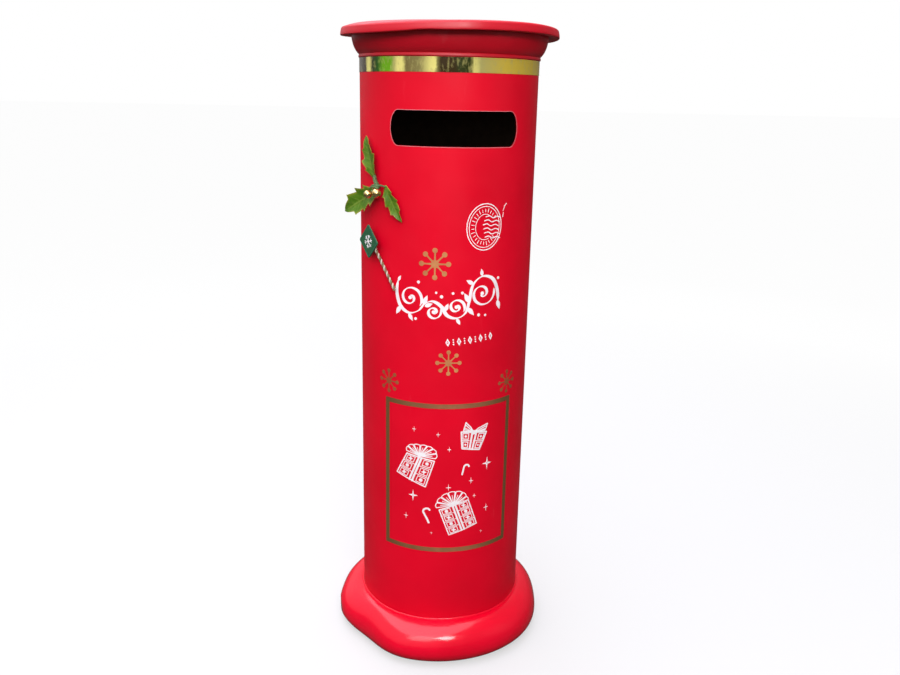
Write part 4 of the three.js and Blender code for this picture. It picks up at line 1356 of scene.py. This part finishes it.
def add_hinges():
    centres = {which: middle(f"hinge_{which}_pin").z for which in ("upper", "lower")}
    for which, height in centres.items():
        for side, body, rows in ((-1, "cabinet", (-1, 1)), (1, "door", (0,))):
            kind = "body" if side < 0 else "door"
            node = f"hinge_{which}_{kind}_leaf"
            piece(f"{node}_plate", *hinge_leaf(side, height, rows), ZINC, body, [node], "zinc", sharp=30)
        node = f"hinge_{which}_pin"
        low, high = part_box(node)
        half = (high.z - low.z) / 2
        head = 1.2 * MM
        dome = arc((0, half - head), (3.4 * MM, head), 0, 90, 6)
        profile = [(0, -half), (2.6 * MM, -half), (3.4 * MM, -half + head), (2.2 * MM, -half + head),
                   (2.2 * MM, half - head), *dome]
        profile[-1] = (0, half)
        spot = Matrix.Translation(polar(HINGE_AZIMUTH, HINGE_R, height))
        piece(f"{node}_rod", *moved(lathe(profile, 32), spot), ZINC, "cabinet", [node], "zinc", sharp=30)
    screw = screw_shape(3 * MM, 1.3 * MM, 1.4 * MM, 6 * MM)
    for side, kind, body in ((-1, "body", "cabinet"), (1, "door", "door")):
        for i in range(4):
            node = f"{kind}_hinge_screw_{i + 1}"
            at = middle(node)
            azimuth = HINGE_AZIMUTH + side * 17.6 * MM / TUBE_R
            turn = Matrix.Rotation(math.radians(23 + 37 * i), 4, "Z")
            spot = wall_frame(azimuth, at.z, TUBE_R + 2.3 * MM) @ turn
            placed_copy(f"{node}_steel", screw, spot, ZINC, body, node)


def add_lid_screws():
    screw = screw_shape(4.5 * MM, 1.7 * MM, 2.2 * MM, 9.8 * MM)
    for i in range(4):
        node = f"cap_screw_{i + 1}"
        at = middle(node)
        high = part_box(node)[1]
        spot = Matrix.Translation((at.x, at.y, high.z - 3.0 * MM)) @ Matrix.Rotation(0.4 + 0.9 * i, 4, "Z")
        placed_copy(f"{node}_steel", screw, spot, ZINC, "cabinet", node)


def add_lock():
    spot = wall_frame(LOCK_AZIMUTH, LOCK_Z)
    end = 3.6 * MM
    flange = [(6.3 * MM, -13.6 * MM), (9 * MM, -13.6 * MM), (9 * MM, 0.55 * MM), (12 * MM, 0.55 * MM),
              (12 * MM, 1.4 * MM), *arc((10.6 * MM, end - 1.4 * MM), (1.4 * MM, 1.4 * MM), 0, 90, 6),
              (8 * MM, end), (7.4 * MM, end - 0.5 * MM), (6.3 * MM, end - 0.5 * MM)]
    housing = moved(lathe(flange, 64), spot)
    piece("lock_housing_chrome", *housing, CHROME, "door", ["lock_housing"], "chrome", sharp=30)

    face = end - 0.2 * MM
    plug_profile = [(0, -13.6 * MM), (5.6 * MM, -13.6 * MM), (6 * MM, -13.2 * MM), (6 * MM, face - 0.4 * MM),
                    (5.6 * MM, face), (0, face)]
    across, up = 1.4 * MM, 3.4 * MM
    keyway = prism([(-across, -up), (across, -up), (across, up), (-across, up)], -6 * MM, 10 * MM)
    plug = carved("lock_plug_chrome", lathe(plug_profile, 48), [keyway])
    plug.transform(spot)
    finished("lock_plug_chrome", plug, CHROME, "lock_barrel", ["lock_plug"], sharp=30)
    add_key(spot, end)


def add_key(spot, end):
    """A flat key: round bow with a hole, a shoulder and a toothed blade in the keyway."""
    bow_at = end + 14 * MM
    across = Matrix.Rotation(math.pi / 2, 4, "Y")
    bow = [(x, y * 0.96) for x, y in disc_outline(11 * MM, 48)]
    bow_shape = moved(prism(bow, -1.0 * MM, 1.0 * MM), Matrix.Translation((0, 0, bow_at)) @ across)
    eye_at = Matrix.Translation((0, 0, bow_at + 4.5 * MM)) @ across
    eye_shape = moved(prism(disc_outline(3 * MM, 28), -5 * MM, 5 * MM), eye_at)
    teeth = [0.0, 0.9, 0.3, 1.2, 0.5, 0.0]
    bladed = [(3.0 * MM, bow_at - 6 * MM), (-3.0 * MM, bow_at - 6 * MM)]
    tip = end - 7.5 * MM
    run = bow_at - 6 * MM - tip
    edge = [(-3.0 * MM + teeth[k] * MM, tip + run * (5 - k) / 6) for k in range(6)]
    outline = bladed + edge + [(-1.6 * MM, tip), (2.2 * MM, tip), (3.0 * MM, tip + 1.5 * MM)]
    lying = Matrix(((0, 0, 1, 0), (1, 0, 0, 0), (0, 1, 0, 0), (0, 0, 0, 1)))
    blade = moved(prism(outline, -0.95 * MM, 0.95 * MM), lying)
    mesh = carved("lock_key_steel", bow_shape, [eye_shape])
    mesh.transform(spot)
    key = finished("lock_key_bow", mesh, CHROME, "lock_barrel", ["lock_key"], sharp=30)
    softened(key, 0.35 * MM)
    made = piece("lock_key_blade", *moved(blade, spot), CHROME, "lock_barrel", (), "chrome", sharp=30)
    softened(made, 0.15 * MM)


def finish_plain_nodes():
    """The hidden boards and lock parts keep their CAD shapes, with a material."""
    boards = ("base_board", "letter_floor", "top_board", "floor_cleat_1", "floor_cleat_2", "floor_cleat_3")
    looks = dict.fromkeys(boards, PLYWOOD) | dict.fromkeys(("lock_nut", "lock_cam", "lock_cam_screw"), ZINC)
    for name, material in looks.items():
        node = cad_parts[name]
        node.data.materials.clear()
        node.data.materials.append(material)
        smoothed(node.data, 30)


# ---- Stage ----
def pale_floor():
    """Camera rays see a floor that also glows, more with distance, so that no horizon shows. All other
    rays meet a dark floor, so it throws little light back and undersides stay dark."""
    look = Look("stage_floor", (0.27, 0.27, 0.27), 0.9, specular=0.0)
    seen = look.node("ShaderNodeLightPath").outputs["Is Camera Ray"]
    away = look.node("ShaderNodeVectorMath", {0: look.place}, operation="LENGTH").outputs["Value"]
    far = look.remap(away, 0.7, 3.0)
    shade = look.mix(far, (0.27, 0.27, 0.27), (0.02, 0.02, 0.02))
    look.paint(look.mix(seen, (0.07, 0.065, 0.06), shade))
    look.shader.inputs["Emission Color"].default_value = (1, 1, 1, 1)
    look.wire(look.math("MULTIPLY", seen, look.remap(far, 0.0, 1.0, 0.54, 0.97)), "Emission Strength")
    return look.material


def add_stage():
    size = 60
    mesh = bpy.data.meshes.new("stage_floor")
    corners = [(-size, -size, 0), (size, -size, 0), (size, size, 0), (-size, size, 0)]
    mesh.from_pydata(corners, [], [[0, 1, 2, 3]])
    mesh.materials.append(pale_floor())
    linked("stage_floor", mesh)


def add_light(name, place, aim, size, power, color=(1, 1, 1)):
    lamp = bpy.data.lights.new(name, "AREA")
    lamp.shape = "ELLIPSE"
    lamp.size, lamp.size_y = size
    lamp.energy = power
    lamp.color = color
    made = linked(name, lamp)
    made.location = place
    made.rotation_euler = (Vector(aim) - Vector(place)).to_track_quat("-Z", "Y").to_euler()
    made.visible_camera = False
    return made


def add_lights():
    """Soft light from above and the front. The world is brighter on the left, and camera rays see it white."""
    add_light("sky_panel", (-0.7, -0.1, 3.2), (-0.7, -0.1, 0), (4.1, 7.2), 178, (0.99, 0.98, 1.12))
    add_light("front_light", (0.3, -3.4, 2.55), (0, 0, 0.75), (1.3, 1.0), 64)
    add_light("key_light", (-1.3, -3.3, 2.6), (0, 0, 0.7), (2.0, 1.4), 26)
    add_light("fill_light", (3.0, -1.6, 1.6), (0, 0, 0.7), (2.2, 2.2), 11).visible_glossy = False
    for name, place in (("back_light", (-1.3, 3.3, 2.0)), ("back_fill", (2.0, 3.0, 1.6))):
        add_light(name, place, (0, 0, 0.7), (2.2, 2.2), 24).visible_glossy = False
    world = bpy.data.worlds.new("studio")
    bpy.context.scene.world = world
    world.use_nodes = True
    tree = world.node_tree

    def node(kind, **settings):
        made = tree.nodes.new(kind)
        for key, value in settings.items():
            setattr(made, key, value)
        return made

    split = node("ShaderNodeSeparateXYZ")
    tree.links.new(node("ShaderNodeTexCoord").outputs["Generated"], split.inputs[0])
    rise = node("ShaderNodeValToRGB")
    stops = [(0.0, 0.42), (0.3, 0.7), (0.6, 0.8), (1.0, 0.8)]
    while len(rise.color_ramp.elements) < len(stops):
        rise.color_ramp.elements.new(0.5)
    for element, (place, value) in zip(rise.color_ramp.elements, stops):
        element.position = place
        element.color = (value, value, value * 1.03, 1)
    tree.links.new(split.outputs["Z"], rise.inputs[0])
    side = node("ShaderNodeMapRange")
    for socket, value in (("From Min", -0.6), ("From Max", 0.5), ("To Min", 1.05), ("To Max", 0.3)):
        side.inputs[socket].default_value = value
    tree.links.new(split.outputs["X"], side.inputs["Value"])
    back = tree.nodes["Background"]
    tree.links.new(rise.outputs[0], back.inputs["Color"])
    tree.links.new(side.outputs[0], back.inputs["Strength"])
    white = node("ShaderNodeBackground")
    white.inputs["Color"].default_value = (1, 1, 1, 1)
    seen = node("ShaderNodeLightPath").outputs["Is Camera Ray"]
    mix = node("ShaderNodeMixShader")
    tree.links.new(seen, mix.inputs[0])
    tree.links.new(back.outputs[0], mix.inputs[1])
    tree.links.new(white.outputs[0], mix.inputs[2])
    tree.links.new(mix.outputs[0], tree.nodes["World Output"].inputs["Surface"])


def add_camera():
    """Stands a little left of the front, 1.17 m up, looking down, with a slight roll."""
    azimuth, distance, height = math.radians(-4.7), 1.7260, 1.1657
    pitch, yaw, roll = math.radians(16.29), math.radians(0.41), math.radians(1.20)
    forward = Vector((math.sin(yaw) * math.cos(pitch), math.cos(yaw) * math.cos(pitch), -math.sin(pitch)))
    right = Vector((math.cos(yaw), -math.sin(yaw), 0))
    up = right.cross(forward)
    tilted_right = right * math.cos(roll) + up * math.sin(roll)
    tilted_up = up * math.cos(roll) - right * math.sin(roll)
    facing = Matrix((tilted_right, tilted_up, -forward)).transposed().to_4x4()
    data = bpy.data.cameras.new("camera")
    data.lens = 33.57
    data.sensor_width = 36
    camera = linked("camera", data)
    stand = Matrix.Rotation(azimuth, 4, "Z") @ Matrix.Translation((0, -distance, height))
    camera.matrix_world = stand @ facing
    bpy.context.scene.camera = camera


add_camera()
add_body_tube()
add_foot()
add_cornice()
add_lid()
add_slot_edge()
add_band()
add_frame_line()
add_snowflakes()
add_postmark()
add_large_flourish()
add_small_flourish()
add_gifts()
add_canes()
add_sparkles()
add_holly()
add_sign()
add_stick()
add_door()
add_hinges()
add_lid_screws()
add_lock()
finish_plain_nodes()
add_stage()
add_lights()
bpy.context.scene.view_settings.view_transform = "Standard"
